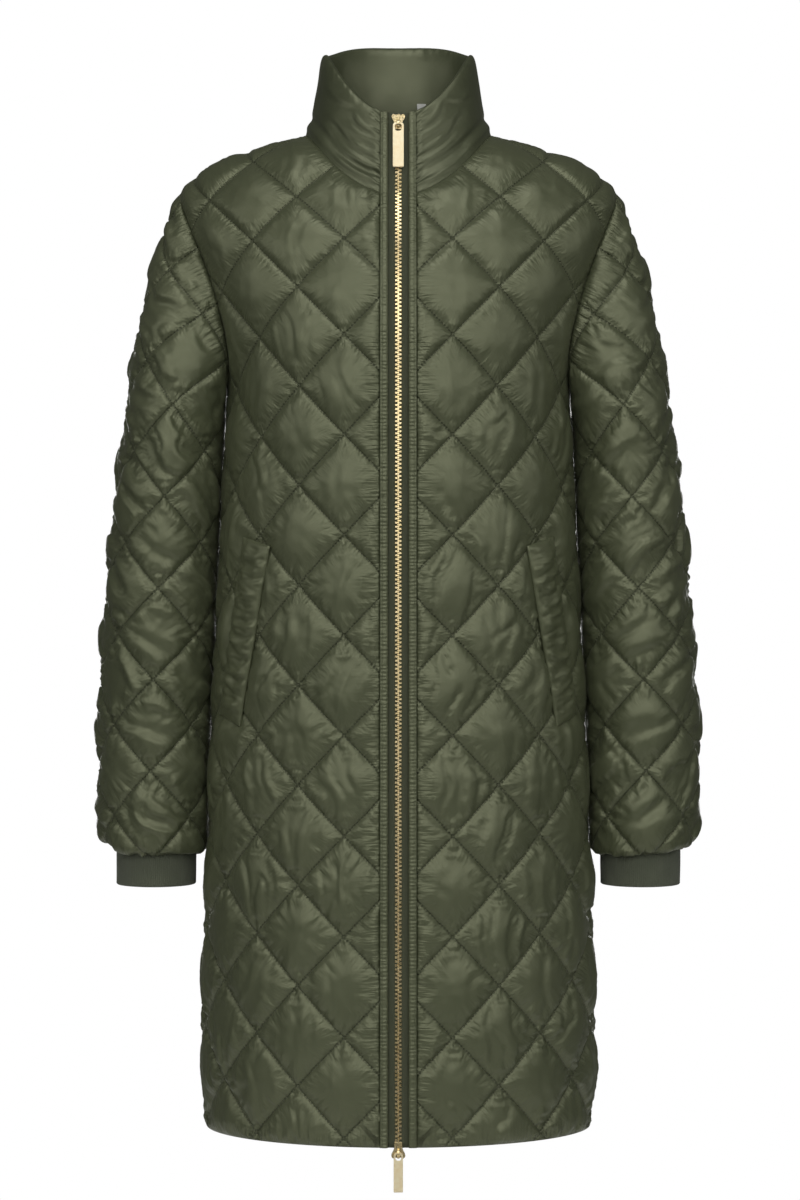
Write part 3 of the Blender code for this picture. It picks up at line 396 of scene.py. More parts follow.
def neck_point(face, turn):
    return body_point(*neck_place(face, turn))


def collar_top(face, turn):
    end = COLLAR_FRONT_Z if face > 0 else COLLAR_BACK_Z
    depth = COLLAR_TOP_FRONT if face > 0 else COLLAR_TOP_BACK
    reach = cos(turn) ** 2 if face > 0 else 1 - abs(sin(turn)) ** COLLAR_CORNER
    z = COLLAR_SIDE_Z + (end - COLLAR_SIDE_Z) * reach
    return Vector((COLLAR_TOP_HALF * sin(turn), -face * depth * cos(turn), z))


def collar_frame(face, foot, top):
    """The collar's foot, its line upwards and its outward normal at a station."""
    step = radians(2)
    base = neck_point(face, foot)
    rise = collar_top(face, top) - base
    low = neck_point(face, foot - step)
    along = neck_point(face, min(foot + step, pi / 2)) - low
    along += collar_top(face, min(top + step, pi / 2)) - collar_top(face, top - step)
    if foot < radians(1) or abs(base.x - FRONT_EDGE) < TINY:
        along = Vector((1, 0, 0))
    if foot > NEARLY_SIDE:
        along = Vector((0, 1, 0))
    normal = along.cross(rise).normalized()
    if normal.dot(Vector((base.x, base.y, 0))) < 0:
        normal = -normal
    return base, rise, normal


def neck_seam(face, foot, top):
    """Direction from body to collar, and the seam's normal."""
    base, rise, normal = collar_frame(face, foot, top)
    s, t = flat_body(*neck_place(face, foot))
    body = normal_of(lambda a, b: on_body(a, b, face), s, t, Vector((base.x, base.y, 0.02)))
    if abs(base.x - FRONT_EDGE) < TINY or base.x < TINY:
        body.x = 0
    if foot > NEARLY_SIDE:
        body.y = 0
    seam = (normal + body.normalized()).normalized()
    upward = (rise - rise.dot(seam) * seam).normalized()
    return upward, seam


# ---------------------------------------------------------------- cutting in the flat
NO_SHIFT = Vector((0, 0, 0))
Edge = namedtuple("Edge", "s t shift normal", defaults=(NO_SHIFT, None))


# ---------------------------------------------------------------- outlines
def share(start, end, steps):
    """The values from start up to, but without, end."""
    return [start + (end - start) * k / steps for k in range(steps)]


def body_outline(face):
    """The edge of a front, or of the +X half of the back, from the hem's inner end."""
    apart = Vector((0, -face * GAP / 2, 0))
    first = across_to(FRONT_EDGE, HEM) if face > 0 else 0.0
    marks = []
    for angle in share(first, pi / 2, HEM_STEPS):
        marks.append(Edge(*flat_body(angle, HEM, face)))
    for z in share(HEM, ARMPIT, SIDE_STEPS):
        marks.append(Edge(*flat_body(pi / 2, z, face), apart))
    for turn in share(pi, 0, ARM_STEPS):
        turn = max(turn, 0) * face
        outward, normal = armhole_seam(turn)
        shift = -outward * GAP / 2
        if abs(turn) == pi:
            shift = shift + apart
        marks.append(Edge(*flat_body(*armhole_place(turn)[:2], face), shift, normal))
    outward, normal = armhole_seam(0)
    tip = flat_body(pi / 2, SHOULDER_TIP, face)
    marks.append(Edge(*tip, apart - outward * GAP / 2, normal))
    for z in share(SHOULDER_TIP, 0, SHOULDER_STEPS)[1:]:
        marks.append(Edge(*flat_body(pi / 2, z, face), apart))
    stations = [row for row in neck_turns() if row[0] == face]
    if face > 0:
        stations = stations[::-1]
    side = (face, pi / 2, pi / 2)
    upward, normal = neck_seam(*side)
    marks.append(Edge(*flat_body(pi / 2, 0, face), apart - upward * GAP / 2, normal))
    for row in stations:
        if row[1] <= NEARLY_SIDE:
            upward, normal = neck_seam(*row)
            place = flat_body(*neck_place(face, row[1])[:2], face)
            marks.append(Edge(*place, -upward * GAP / 2, normal))
    return marks


def front_outline():
    """A whole front: the half outline, closed along the zip band."""
    marks = body_outline(1)
    top = worn_height(marks[-1].t)
    for z in share(top, HEM, EDGE_STEPS)[1:]:
        place = flat_body(across_to(FRONT_EDGE, z), z, 1)
        marks.append(Edge(*place, NO_SHIFT, centre_normal(z)))
    corner = marks[0]
    marks[0] = Edge(corner.s, corner.t, NO_SHIFT, centre_normal(HEM))
    return marks


def centre_normal(z):
    """The outward normal of the centre front, which has no sideways part."""
    step = 0.001
    slope = (centre_front(z + step) - centre_front(z - step)) / (2 * step)
    return Vector((0, -1, -slope)).normalized()


def back_outline():
    """The whole back: the half outline and its mirror image."""
    marks = body_outline(-1)
    mirrored = []
    for mark in marks[::-1]:
        if mark.s > TINY:
            normal = mark.normal * FLIP if mark.normal is not None else None
            mirrored.append(Edge(-mark.s, mark.t, mark.shift * FLIP, normal))
    return marks + mirrored


def welt_outline():
    """The welt's outline on its front, in cloth coordinates."""
    steps = [k / WELT_PIECES for k in range(WELT_PIECES + 1)]
    ring = [welt_place(along, 0) for along in steps] + [welt_place(along, 1) for along in steps[::-1]]
    return [flat_body(across_to(*spot), spot[1], 1) for spot in ring]


# ---------------------------------------------------------------- sleeves
sleeve_outer = curve_through(SLEEVE, "outer")
sleeve_inner = curve_through(SLEEVE, "inner")
SLEEVE_DEPTH = {1: curve_through(SLEEVE, "front"), -1: curve_through(SLEEVE, "back")}
CUFF_HALVES = [curve_through(CUFF, name) for name in ("half_width", "half_depth")]


def sleeve_ring(turn, z):
    """Across and depth of the hanging sleeve; turn 0 is its outer side."""
    outer, inner = sleeve_outer(z), sleeve_inner(z)
    middle = (SLEEVE_DEPTH[-1](z) - SLEEVE_DEPTH[1](z)) / 2
    half = (SLEEVE_DEPTH[-1](z) + SLEEVE_DEPTH[1](z)) / 2
    x = (outer + inner) / 2 + (outer - inner) / 2 * cos(turn)
    return np.array((x, middle - half * sin(turn)))


def hem_height(turn):
    return SLEEVE_HEM + HEM_RISE * max(0.0, cos(turn)) ** 2


def sleeve_cap(turn, z):
    """The cap, which swings from the armhole into the hanging sleeve."""
    start = armhole_point(turn)
    span = start.z - SLEEVE_TOP
    u = (start.z - z) / span
    low = sleeve_ring(turn, SLEEVE_TOP)
    fall = (sleeve_ring(turn, SLEEVE_TOP - CAP_STEP) - low) / CAP_STEP
    rise = np.array((CAP_OUT[0] + CAP_OUT[1] * (1 + cos(turn)), -CAP_FORWARD * sin(turn)))
    head = np.array((start.x, start.y))
    return Vector((*cubic(u, head, rise * span, low, fall * span), z))


def cuff_ring(turn, z, clear):
    across, deep = [half(z) + clear for half in CUFF_HALVES]
    return np.array((CUFF_CENTRE[0] + across * cos(turn), CUFF_CENTRE[1] - deep * sin(turn)))


def sleeve_hem(turn, beyond):
    """The turned-in hem, at a length of cloth beyond the hem's fold."""
    z = hem_height(turn)
    ring = sleeve_ring(turn, z)
    goal = cuff_ring(turn, z - HEM_TURN, LIP_CLEAR)
    reach = float(np.linalg.norm(goal - ring))
    quarter = HEM_TURN * pi / 2
    angle = min(beyond / HEM_TURN, pi / 2)
    inward = HEM_TURN * (1 - cos(angle))
    inward += max(0.0, beyond - quarter) / HEM_SHELF * (reach - HEM_TURN)
    spot = ring + (goal - ring) / reach * inward
    return Vector((*spot, z - HEM_TURN * sin(angle)))


def on_sleeve(s, t):
    """A point of the +X sleeve; below its hem the cloth turns in."""
    turn = s / SLEEVE_RADIUS
    fold = hem_height(turn)
    if t < fold:
        return sleeve_hem(turn, fold - t)
    if t < SLEEVE_TOP:
        return Vector((*sleeve_ring(turn, t), t))
    return sleeve_cap(turn, t)


def sleeve_turns():
    steps = 2 * ARM_STEPS
    return [-pi + 2 * pi * k / steps for k in range(steps + 1)]


def sleeve_outline():
    marks = []
    depth = HEM_TURN * pi / 2 + HEM_SHELF
    for turn in sleeve_turns()[:-1]:
        marks.append(Edge(turn * SLEEVE_RADIUS, hem_height(turn) - depth))
    heights = [SLEEVE_HEM + (-depth + depth * row) for row in LIP_ROWS]
    heights += share(SLEEVE_HEM, ARMPIT, SLEEVE_STEPS)
    for z in heights:
        marks.append(Edge(pi * SLEEVE_RADIUS, z))
    for turn in sleeve_turns()[::-1]:
        outward, normal = armhole_seam(turn)
        top = armhole_point(turn).z
        marks.append(Edge(turn * SLEEVE_RADIUS, top, outward * GAP / 2, normal))
    for z in heights[:0:-1]:
        marks.append(Edge(-pi * SLEEVE_RADIUS, z))
    return marks


def sleeve_outward(spot):
    """Roughly outward at a point of the sleeve, and down under its hem."""
    z = max(min(spot.z, SLEEVE_TOP), SLEEVE_HEM)
    middle = (sleeve_ring(0, z) + sleeve_ring(pi, z)) / 2
    if spot.z > SLEEVE_TOP:
        return spot - Vector((0.175, 0.0, -0.22))
    down = -0.08 if spot.z < SLEEVE_HEM + HEM_RISE - 0.004 else 0.0
    return Vector((spot.x - middle[0], spot.y - middle[1], down))


# ---------------------------------------------------------------- zip
def centre_front(z):
    """Distance of the zip's line in front of the origin, collar included."""
    foot = neck_point(1, asin(FRONT_EDGE / NECK_HALF))
    if z < foot.z:
        return DEPTH[1](z)
    top = collar_top(1, asin(FRONT_EDGE / COLLAR_TOP_HALF))
    return DEPTH[1](foot.z) + (z - foot.z) / (top.z - foot.z) * (-top.y - DEPTH[1](foot.z))


def zip_point(x, z, out):
    return Vector((x, -centre_front(z), z)) + centre_normal(z) * out


def arched(half, low, high, head, foot, steps):
    """A rectangle whose upper corners are rounded by head and lower ones by foot."""
    corners = ((half - head, high - head, head, 0.0), (head - half, high - head, head, pi / 2),
               (foot - half, low + foot, foot, pi), (half - foot, low + foot, foot, 1.5 * pi))
    loop = []
    for x, y, radius, start in corners:
        for k in range(steps + 1):
            angle = start + pi / 2 * k / steps
            loop.append((x + radius * cos(angle), y + radius * sin(angle)))
    return loop


def zip_frame(z, out=0.0):
    """Across, out and up at a height of the zip and so far out, as a placing matrix."""
    normal = centre_normal(z)
    lean = atan2(normal.z, -normal.y)
    spot = Vector((0, -centre_front(z), z)) + normal * out
    return Matrix.Translation(spot) @ Matrix.Rotation(-lean, 4, "X")


# ---------------------------------------------------------------- meshes
def add(name, data, *materials):
    """A new object in the scene, with its mesh's materials."""
    for material in materials:
        data.materials.append(material)
    piece = bpy.data.objects.new(name, data)
    bpy.context.scene.collection.objects.link(piece)
    return piece


def new_mesh(name, points, faces):
    mesh = bpy.data.meshes.new(name)
    mesh.from_pydata([tuple(p) for p in points], [], faces)
    return mesh


def mesh_of(name, bm):
    """The mesh of a bmesh, which is used up."""
    mesh = bpy.data.meshes.new(name)
    bm.to_mesh(mesh)
    bm.free()
    return mesh


# ---------------------------------------------------------------- quilted cloth
Lattice = namedtuple("Lattice", "start cell")
FRONT_LATTICE = Lattice(FRONT_START, BODY_CELL)
BACK_LATTICE = Lattice(BACK_START, BODY_CELL)
SLEEVE_LATTICE = Lattice(SLEEVE_START, SLEEVE_CELL)


def all_inside(points, ring):
    """For each point, whether it lies inside the ring."""
    hits = np.zeros(len(points), dtype=bool)
    x, y = points[:, 0], points[:, 1]
    for (x1, y1), (x2, y2) in zip(ring, ring[1:] + ring[:1]):
        if y1 != y2:
            crosses = (y1 > y) != (y2 > y)
            hits ^= crosses & (x < x1 + (y - y1) * (x2 - x1) / (y2 - y1))
    return hits


def nearest_edge(points, ring):
    """For each point, its distance to the ring and how far along the ring that is."""
    near, along, run = np.full(len(points), np.inf), np.zeros(len(points)), 0.0
    for start, end in zip(ring, ring[1:] + ring[:1]):
        a, b = np.array(start), np.array(end)
        length = float(np.linalg.norm(b - a))
        share = np.clip(((points - a) @ (b - a)) / max(length ** 2, 1e-18), 0, 1)
        far = np.linalg.norm(points - (a + share[:, None] * (b - a)), axis=1)
        closer = far < near
        near = np.where(closer, far, near)
        along = np.where(closer, run + share * length, along)
        run += length
    return near, along


def rough(x, y, seed=0.0):
    """Smooth noise between -1 and 1 over a plane, with a grain of about one."""
    i, j = np.floor(x), np.floor(y)
    u, v = x - i, y - j
    u, v = u * u * (3 - 2 * u), v * v * (3 - 2 * v)

    def corner(a, b):
        mixed = np.sin(a * 127.1 + b * 311.7 + seed * 74.7) * 43758.5453
        return 2 * (mixed - np.floor(mixed)) - 1

    low = corner(i, j) * (1 - u) + corner(i + 1, j) * u
    high = corner(i, j + 1) * (1 - u) + corner(i + 1, j + 1) * u
    return low * (1 - v) + high * v


def in_diamonds(points, lattice):
    """Places counted in diamonds along the two stitch directions, with the stitches
    at whole numbers."""
    steps = (np.asarray(points) - lattice.start) / lattice.cell
    i, j = steps[..., 0], steps[..., 1]
    return np.stack([(i + j) / 4 + 0.5, (i - j) / 4 + 0.5], axis=-1)


def quilt_grid(ring, lattice, cells):
    """The grid points inside a ring and clear of its edge: counts and places."""
    low, high = np.min(ring, axis=0), np.max(ring, axis=0)
    corners = in_diamonds([(s, t) for s in (low[0], high[0]) for t in (low[1], high[1])], lattice)
    first = np.floor(corners.min(axis=0) * cells).astype(int)
    last = np.ceil(corners.max(axis=0) * cells).astype(int)
    a, b = np.meshgrid(np.arange(first[0], last[0] + 1), np.arange(first[1], last[1] + 1))
    counts = np.stack([a.ravel(), b.ravel()], axis=1)
    total, apart = counts.sum(axis=1) / cells - 1, (counts[:, 0] - counts[:, 1]) / cells
    spots = np.stack([total, apart], axis=1) * 2 * np.array(lattice.cell) + lattice.start
    within = all_inside(spots, ring)
    counts, spots = counts[within], spots[within]
    clear = nearest_edge(spots, ring)[0] > GRID_CLEAR * lattice.cell[0] / cells
    return counts[clear], spots[clear]


def join_to_edge(ring, spots, borders, covered):
    """Triangles between the ring and the grid's own edge."""
    points = [Vector(spot) for spot in ring] + [Vector(spot) for spot in spots]
    size = len(ring)
    lines = [(k, (k + 1) % size) for k in range(size)]
    lines += [(size + a, size + b) for a, b in borders]
    found = delaunay_2d_cdt(points, lines, [], 0, 1e-7)
    places = np.array([tuple(spot) for spot in found[0]])
    middles = np.array([places[list(tri)].mean(axis=0) for tri in found[2]])
    wanted = all_inside(middles, ring) & ~covered(middles)
    return [[found[3][k][0] for k in tri] for tri, keep in zip(found[2], wanted) if keep]


def cut_sheet(ring, lattice, cells):
    """Cut a sheet in the flat: its points, grid counts and faces. The ring comes first."""
    counts, spots = quilt_grid(ring, lattice, cells)
    order = {tuple(count): k for k, count in enumerate(counts)}
    quads, full = [], set()
    for (a, b), k in order.items():
        corners = [order.get(key) for key in ((a, b), (a, b + 1), (a + 1, b + 1), (a + 1, b))]
        if None not in corners:
            quads.append(corners)
            full.add((a, b))
    edges = {}
    for quad in quads:
        for pair in zip(quad, quad[1:] + quad[:1]):
            key = tuple(sorted(pair))
            edges[key] = edges.get(key, 0) + 1
    borders = [pair for pair, uses in edges.items() if uses == 1]
    rim = sorted({k for pair in borders for k in pair})
    at_rim = {k: n for n, k in enumerate(rim)}
    rim_lines = [(at_rim[a], at_rim[b]) for a, b in borders]

    def covered(middles):
        cells_at = np.floor(in_diamonds(middles, lattice) * cells).astype(int)
        return np.array([tuple(cell) in full for cell in cells_at])

    size = len(ring)
    strip = join_to_edge(ring, spots[rim], rim_lines, covered)
    used = sorted({k for quad in quads for k in quad})
    place = {k: size + n for n, k in enumerate(used)}
    faces = [[place[k] for k in quad] for quad in quads]
    for tri in strip:
        faces.append([k if k < size else place[rim[k - size]] for k in tri])
    flat = np.vstack([np.array(ring), spots[used]])
    grid = np.vstack([np.full((size, 2), 1), counts[used]])
    return flat, grid, faces


def mesh_normals(points, faces):
    """Vertex normals of a sheet."""
    mesh = new_mesh("measure", points, faces)
    normals = np.array([tuple(n.vector) for n in mesh.vertex_normals])
    bpy.data.meshes.remove(mesh)
    return normals


class Panel:
    """A quilted piece: cut in the flat, laid on the worn form, then filled out."""

    def __init__(self, outline, lattice, swell, pucker, place, outward, bare=None):
        ring = [(mark.s, mark.t) for mark in outline]
        self.lattice, self.swell, self.pucker, self.size = lattice, swell, pucker, len(ring)
        self.flat, self.grid, self.faces = cut_sheet(ring, lattice, CELLS)
        self.inner_flat, _, self.inner_faces = cut_sheet(ring, lattice, INNER_CELLS)
        edge_points, edge_normals = self.lay_edge(outline, place, outward)
        self.base = np.vstack([edge_points, self.lay(self.flat[self.size:], place)])
        middle = self.faces[len(self.faces) // 2]
        inner = self.lay(self.inner_flat[self.size:], place)
        inner_normals = [normal_of(place, s, t, outward(Vector(spot)))
                         for (s, t), spot in zip(self.inner_flat[self.size:], inner)]
        self.inner = np.vstack([edge_points - edge_normals * WALL,
                                inner - np.array(inner_normals) * WALL])
        normals = mesh_normals(self.base, self.faces)
        towards = normal_of(place, *self.flat[middle[0]], outward(Vector(self.base[middle[0]])))
        if Vector(normals[middle[0]]).dot(towards) < 0:
            normals = -normals
            self.faces = [face[::-1] for face in self.faces]
            self.inner_faces = [face[::-1] for face in self.inner_faces]
        self.normals = normals
        self.normals[:self.size] = edge_normals
        self.set_rise(ring, bare)
        self.settled = self.base + self.normals * self.rise[:, None]

    def lay(self, flat, place):
        return np.array([tuple(place(s, t)) for s, t in flat])

    def lay_edge(self, outline, place, outward):
        points, normals = [], []
        for mark in outline:
            spot = place(mark.s, mark.t)
            own = mark.normal or normal_of(place, mark.s, mark.t, outward(spot))
            points.append(tuple(spot + mark.shift * SEAM_CLOSE))
            normals.append(tuple(own))
        return np.array(points), np.array(normals)

    def set_rise(self, ring, bare):
        """How high each point is filled, and which points the stitches hold."""
        diamonds = in_diamonds(self.flat, self.lattice)
        crown = np.abs(np.prod(np.sin(pi * diamonds), axis=1)) ** CROWN_SQUARE
        self.seam, self.seam_along = nearest_edge(self.flat, ring)
        fade = np.sqrt(np.clip(self.seam / SEAM_RISE, 0, 1))
        self.held = (self.grid % CELLS == 0).any(axis=1)
        self.held[:self.size] = True
        if bare is not None:
            inside_bare = all_inside(self.flat, bare)
            near = nearest_edge(self.flat, bare)[0]
            fade = np.where(inside_bare, 0, fade * np.sqrt(np.clip(near / WELT_RISE, 0, 1)))
            self.held |= inside_bare | (near < HOLD_ROUND)
        self.rise = self.swell.puff * crown * fade
        self.seam_depth = np.full(len(self.flat), self.pucker.seam)

    def mirrored(self):
        """The same piece on the other side of the coat."""
        other = object.__new__(Panel)
        other.__dict__.update(self.__dict__)
        for name in ("base", "inner", "normals", "settled"):
            setattr(other, name, getattr(self, name) * np.array(FLIP))
        other.faces = [face[::-1] for face in self.faces]
        other.inner_faces = [face[::-1] for face in self.inner_faces]
        return other

    def room(self, others):
        """How far each point may rise before it meets its share of a neighbour."""
        room = np.full(len(self.base), TALLEST)
        for other in others:
            tree = BVHTree.FromPolygons([Vector(p) for p in other.base], other.faces)
            near = np.array([tree.find_nearest(Vector(p))[3] for p in self.base])
            room = np.minimum(room, SHARE_OF_ROOM * np.maximum(near - ROOM_CLEAR, 0))
        return room

    def press_stitches(self):
        """Sink the stitch lines a little below the cloth beside them."""
        lines = (self.grid % CELLS == 0).any(axis=1)
        lines[:self.size] = False
        sink = STITCH_SINK * lines * np.clip(self.seam / SEAM_RISE, 0, 1)
        self.settled = self.settled - self.normals * sink[:, None]

    def hold_within(self, room):
        """Keep the settled cloth between its stitched level and the room it has."""
        moved = self.settled - self.base
        out = (moved * self.normals).sum(axis=1)
        kept = np.where(out > 0, room * np.tanh(np.maximum(out, 0) / np.maximum(room, 1e-6)),
                        np.maximum(out, LOWEST))
        scale = np.where(np.abs(out) > 1e-6, np.clip(kept / np.where(out == 0, 1, out), 0, 1), 1)
        along = (moved - out[:, None] * self.normals) * scale[:, None]
        self.settled = self.base + along + kept[:, None] * self.normals
        self.freedom = np.clip(room / ROOM_FREE, 0, 1)


def cloth_for(panel, seed):
    """A cloth object that starts part filled and was cut larger than the worn form."""
    start = panel.base + panel.normals * panel.rise[:, None] * START_SHARE
    for k, spot in enumerate(panel.base):
        if not panel.held[k]:
            shake = noise.noise(Vector(spot) * SHAKE_SCALE + Vector((seed * 7.3, 0, 0)))
            start[k] += panel.normals[k] * shake * SHAKE
    thing = add("settling", new_mesh("settling", start, panel.faces))
    thing.shape_key_add(name="worn")
    cut = thing.shape_key_add(name="cut")
    cut.data.foreach_set("co", (panel.base * np.array(panel.swell.grow)).ravel())
    held = thing.vertex_groups.new(name="held")
    held.add([int(k) for k in np.flatnonzero(panel.held)], 1.0, "REPLACE")
    settings = thing.modifiers.new("cloth", "CLOTH").settings
    for name, value in CLOTH_SETTINGS.items():
        setattr(settings, name, value)
    settings.vertex_group_mass = "held"
    settings.rest_shape_key = cut
    settings.use_pressure = True
    settings.uniform_pressure_force = panel.swell.pressure
    settings.effector_weights.gravity = 0
    return thing


def settle(panels):
    """Run the cloth of all panels together, and keep where it comes to rest."""
    things = [cloth_for(panel, seed) for seed, panel in enumerate(panels)]
    scene = bpy.context.scene
    scene.frame_start, scene.frame_end = 1, SETTLING_FRAMES
    for step in range(1, SETTLING_FRAMES + 1):
        scene.frame_set(step)
    depsgraph = bpy.context.evaluated_depsgraph_get()
    for panel, thing in zip(panels, things):
        vertices = thing.evaluated_get(depsgraph).data.vertices
        panel.settled = read(vertices, "co", len(vertices) * 3, float).reshape(-1, 3)
    for thing in things:
        bpy.data.meshes.remove(thing.data)
    scene.frame_set(1)


def panel_object(name, panel, materials, seed, twins=None):
    """The closed piece: filled outer cloth, plain lining, and the edge between them."""
    size, outer = panel.size, len(panel.settled)
    inner = outer + np.arange(len(panel.inner))
    same = dict(twins or {})
    same.update({outer + a: outer + b for a, b in (twins or {}).items()})

    def at(k):
        return same.get(int(k), int(k))

    faces = [[at(k) for k in face] for face in panel.faces]
    shell = len(faces)
    faces += [[at(inner[k]) for k in face[::-1]] for face in panel.inner_faces]
    ahead = {(face[k - 1], face[k]) for face in panel.faces for k in range(len(face))}
    for k in range(size):
        a, b = k, (k + 1) % size
        if (a, b) not in ahead:
            a, b = b, a
        if twins and (a in twins or a in twins.values()) and (b in twins or b in twins.values()):
            continue
        faces.append([at(b), at(a), at(inner[a]), at(inner[b])])
    mesh = new_mesh(name, np.vstack([panel.settled, panel.inner]), faces)
    mark_mesh(mesh, panel, shell, outer)
    loose = bmesh.new()
    loose.from_mesh(mesh)
    bmesh.ops.delete(loose, geom=[v for v in loose.verts if not v.link_faces], context="VERTS")
    loose.to_mesh(mesh)
    loose.free()
    piece = add(name, mesh, *materials)
    modifier = piece.modifiers.new("smooth", "SUBSURF")
    modifier.levels = modifier.render_levels = 1
    modifier.boundary_smooth = "PRESERVE_CORNERS"
    apply_modifiers(piece)
    draw_in(piece.data, panel.pucker, seed)
    piece.data.shade_smooth()
    return piece


def apply_modifiers(piece):
    """Give the piece the mesh that its modifiers make of it."""
    graph = bpy.context.evaluated_depsgraph_get()
    graph.update()
    made = bpy.data.meshes.new_from_object(piece.evaluated_get(graph), preserve_all_data_layers=True,
                                           depsgraph=graph)
    old = piece.data
    piece.modifiers.clear()
    piece.data = made
    made.name = piece.name
    bpy.data.meshes.remove(old)


def read(data, name, count, kind=np.float32):
    """A vector of each of a mesh's points, or the numbers of another of its lists."""
    values = np.zeros(count, dtype=kind)
    data.foreach_get(name, values)
    return values


def bell(value, width):
    return np.exp(-(value / width) ** 2)


def near_line(distance, reach):
    """Rises from 0 at a stitch or seam to 1 at reach, and dies away beyond it."""
    return distance / reach * np.exp(1 - distance / reach)


def stitch_puckers(cell, number, pucker):
    """Short puckers along the stitches, which fan out over each diamond."""
    far = np.minimum(cell, 1 - cell) * DIAMOND_SIDE
    corner = bell(np.hypot(far[:, 0], far[:, 1]), CORNER_NEAR)
    total = np.zeros(len(cell))
    for near, along in ((0, 1), (1, 0)):
        distance = far[:, near]
        fan = 1 - FAN * np.clip(distance / (DIAMOND_SIDE / 2), 0, 1)
        place = (cell[:, along] - 0.5) * DIAMOND_SIDE / fan
        own = number + np.where(cell[:, near] < 0.5, 0.0, 31.0)
        wave = rough(place / pucker.grain, distance / 0.02, own + near * 5)
        wave = wave + 0.4 * rough(place / pucker.grain * 1.9, distance / 0.01, own + 3)
        patch = 0.8 + 0.6 * rough(place / 0.02, 0.5 + 0 * place, number + 11)
        rise = near_line(distance, pucker.reach)
        total += pucker.depth * wave * rise * (0.7 + 0.5 * corner) * patch
    return total


def crossing_folds(cell, luck, pucker):
    """Short curved folds across the upper and lower corner of each diamond."""
    total = np.zeros(len(cell))
    for end in (0, 1):
        inward = np.abs(cell - (end, 1 - end)) * DIAMOND_SIDE
        deep = (inward[:, 0] + inward[:, 1]) * HALF_ROOT
        wide = (inward[:, 0] - inward[:, 1]) * HALF_ROOT
        for k in range(2):
            chance = luck(40.0 + end * 3 + k * 7)
            place = 0.0060 + 0.0065 * k + 0.0025 * chance
            off = deep - place + wide ** 2 * (22.0 - 12.0 * k)
            size = np.clip(0.7 + 0.8 * chance, 0, 1.3) * (1 - 0.35 * k)
            shape = bell(off, FOLD_RIDGE) - 0.8 * bell(off - 0.0034, FOLD_HOLLOW)
            total -= pucker.corner * size * shape * np.exp(-(wide / (0.006 + 0.004 * k)) ** 4)
    return total


def long_folds(spot, cell, number, luck, pucker, seed):
    """Longer folds and slow waves over each diamond, which lean with the pull of the cloth."""
    chance = luck(8.0)
    crown = np.sqrt(np.prod(np.sin(pi * cell), axis=1))
    down = (spot[:, 0] - spot[:, 1]) * DIAMOND_SIDE * HALF_ROOT
    across = (spot[:, 0] + spot[:, 1]) * DIAMOND_SIDE * HALF_ROOT
    lean = pucker.lean + LEAN_DRIFT * chance
    run = down * np.cos(lean) + across * np.sin(lean)
    gap = across * np.cos(lean) - down * np.sin(lean)
    bend = rough(gap / 0.05, run / 0.03, seed + 9) * FOLD_BEND
    fold = rough(run / FOLD_RUN, (gap + bend) / pucker.fold_gap, seed + 21 + np.floor(number))
    crease = bell(fold, 0.16) - 0.35
    wave = pucker.wave * fold * crown * np.clip(0.8 + 0.6 * chance, 0.3, 1.3)
    return wave - pucker.fold * crease * crown * np.clip(0.55 + 0.9 * chance, 0, 1.2)


def draw_in(mesh, pucker, seed):
    """Draw the cloth into puckers along its stitches and seams, and folds between them."""
    size = len(mesh.vertices) * 3
    spot, seam = [read(mesh.attributes[name].data, "vector", size).reshape(-1, 3).astype(float)
                  for name in ("spot", "seam")]
    cell = spot[:, :2] - np.floor(spot[:, :2])
    number = np.floor(spot[:, 0]) * 7.0 + np.floor(spot[:, 1]) * 13.0 + seed

    def luck(draw):
        return rough(number, 0.3 + 0 * number, draw)

    depth = stitch_puckers(cell, number, pucker) + crossing_folds(cell, luck, pucker)
    depth += long_folds(spot, cell, number, luck, pucker, seed)
    ladder = rough(seam[:, 1] / LADDER_GRAIN, seam[:, 0] / 0.012, seed + 33)
    depth += seam[:, 2] * ladder * near_line(seam[:, 0], LADDER_REACH)
    depth *= np.interp(spot[:, 0] - spot[:, 1], pucker.calm_from, pucker.calm)
    most = np.where(depth < 0, DEEPEST, HIGHEST)
    depth = most * np.tanh(depth / most) * spot[:, 2]
    points, normals = read(mesh.vertices, "co", size), read(mesh.vertex_normals, "vector", size)
    moved = points.reshape(-1, 3) + normals.reshape(-1, 3) * depth[:, None]
    mesh.vertices.foreach_set("co", moved.astype(np.float32).ravel())
    mesh.update()


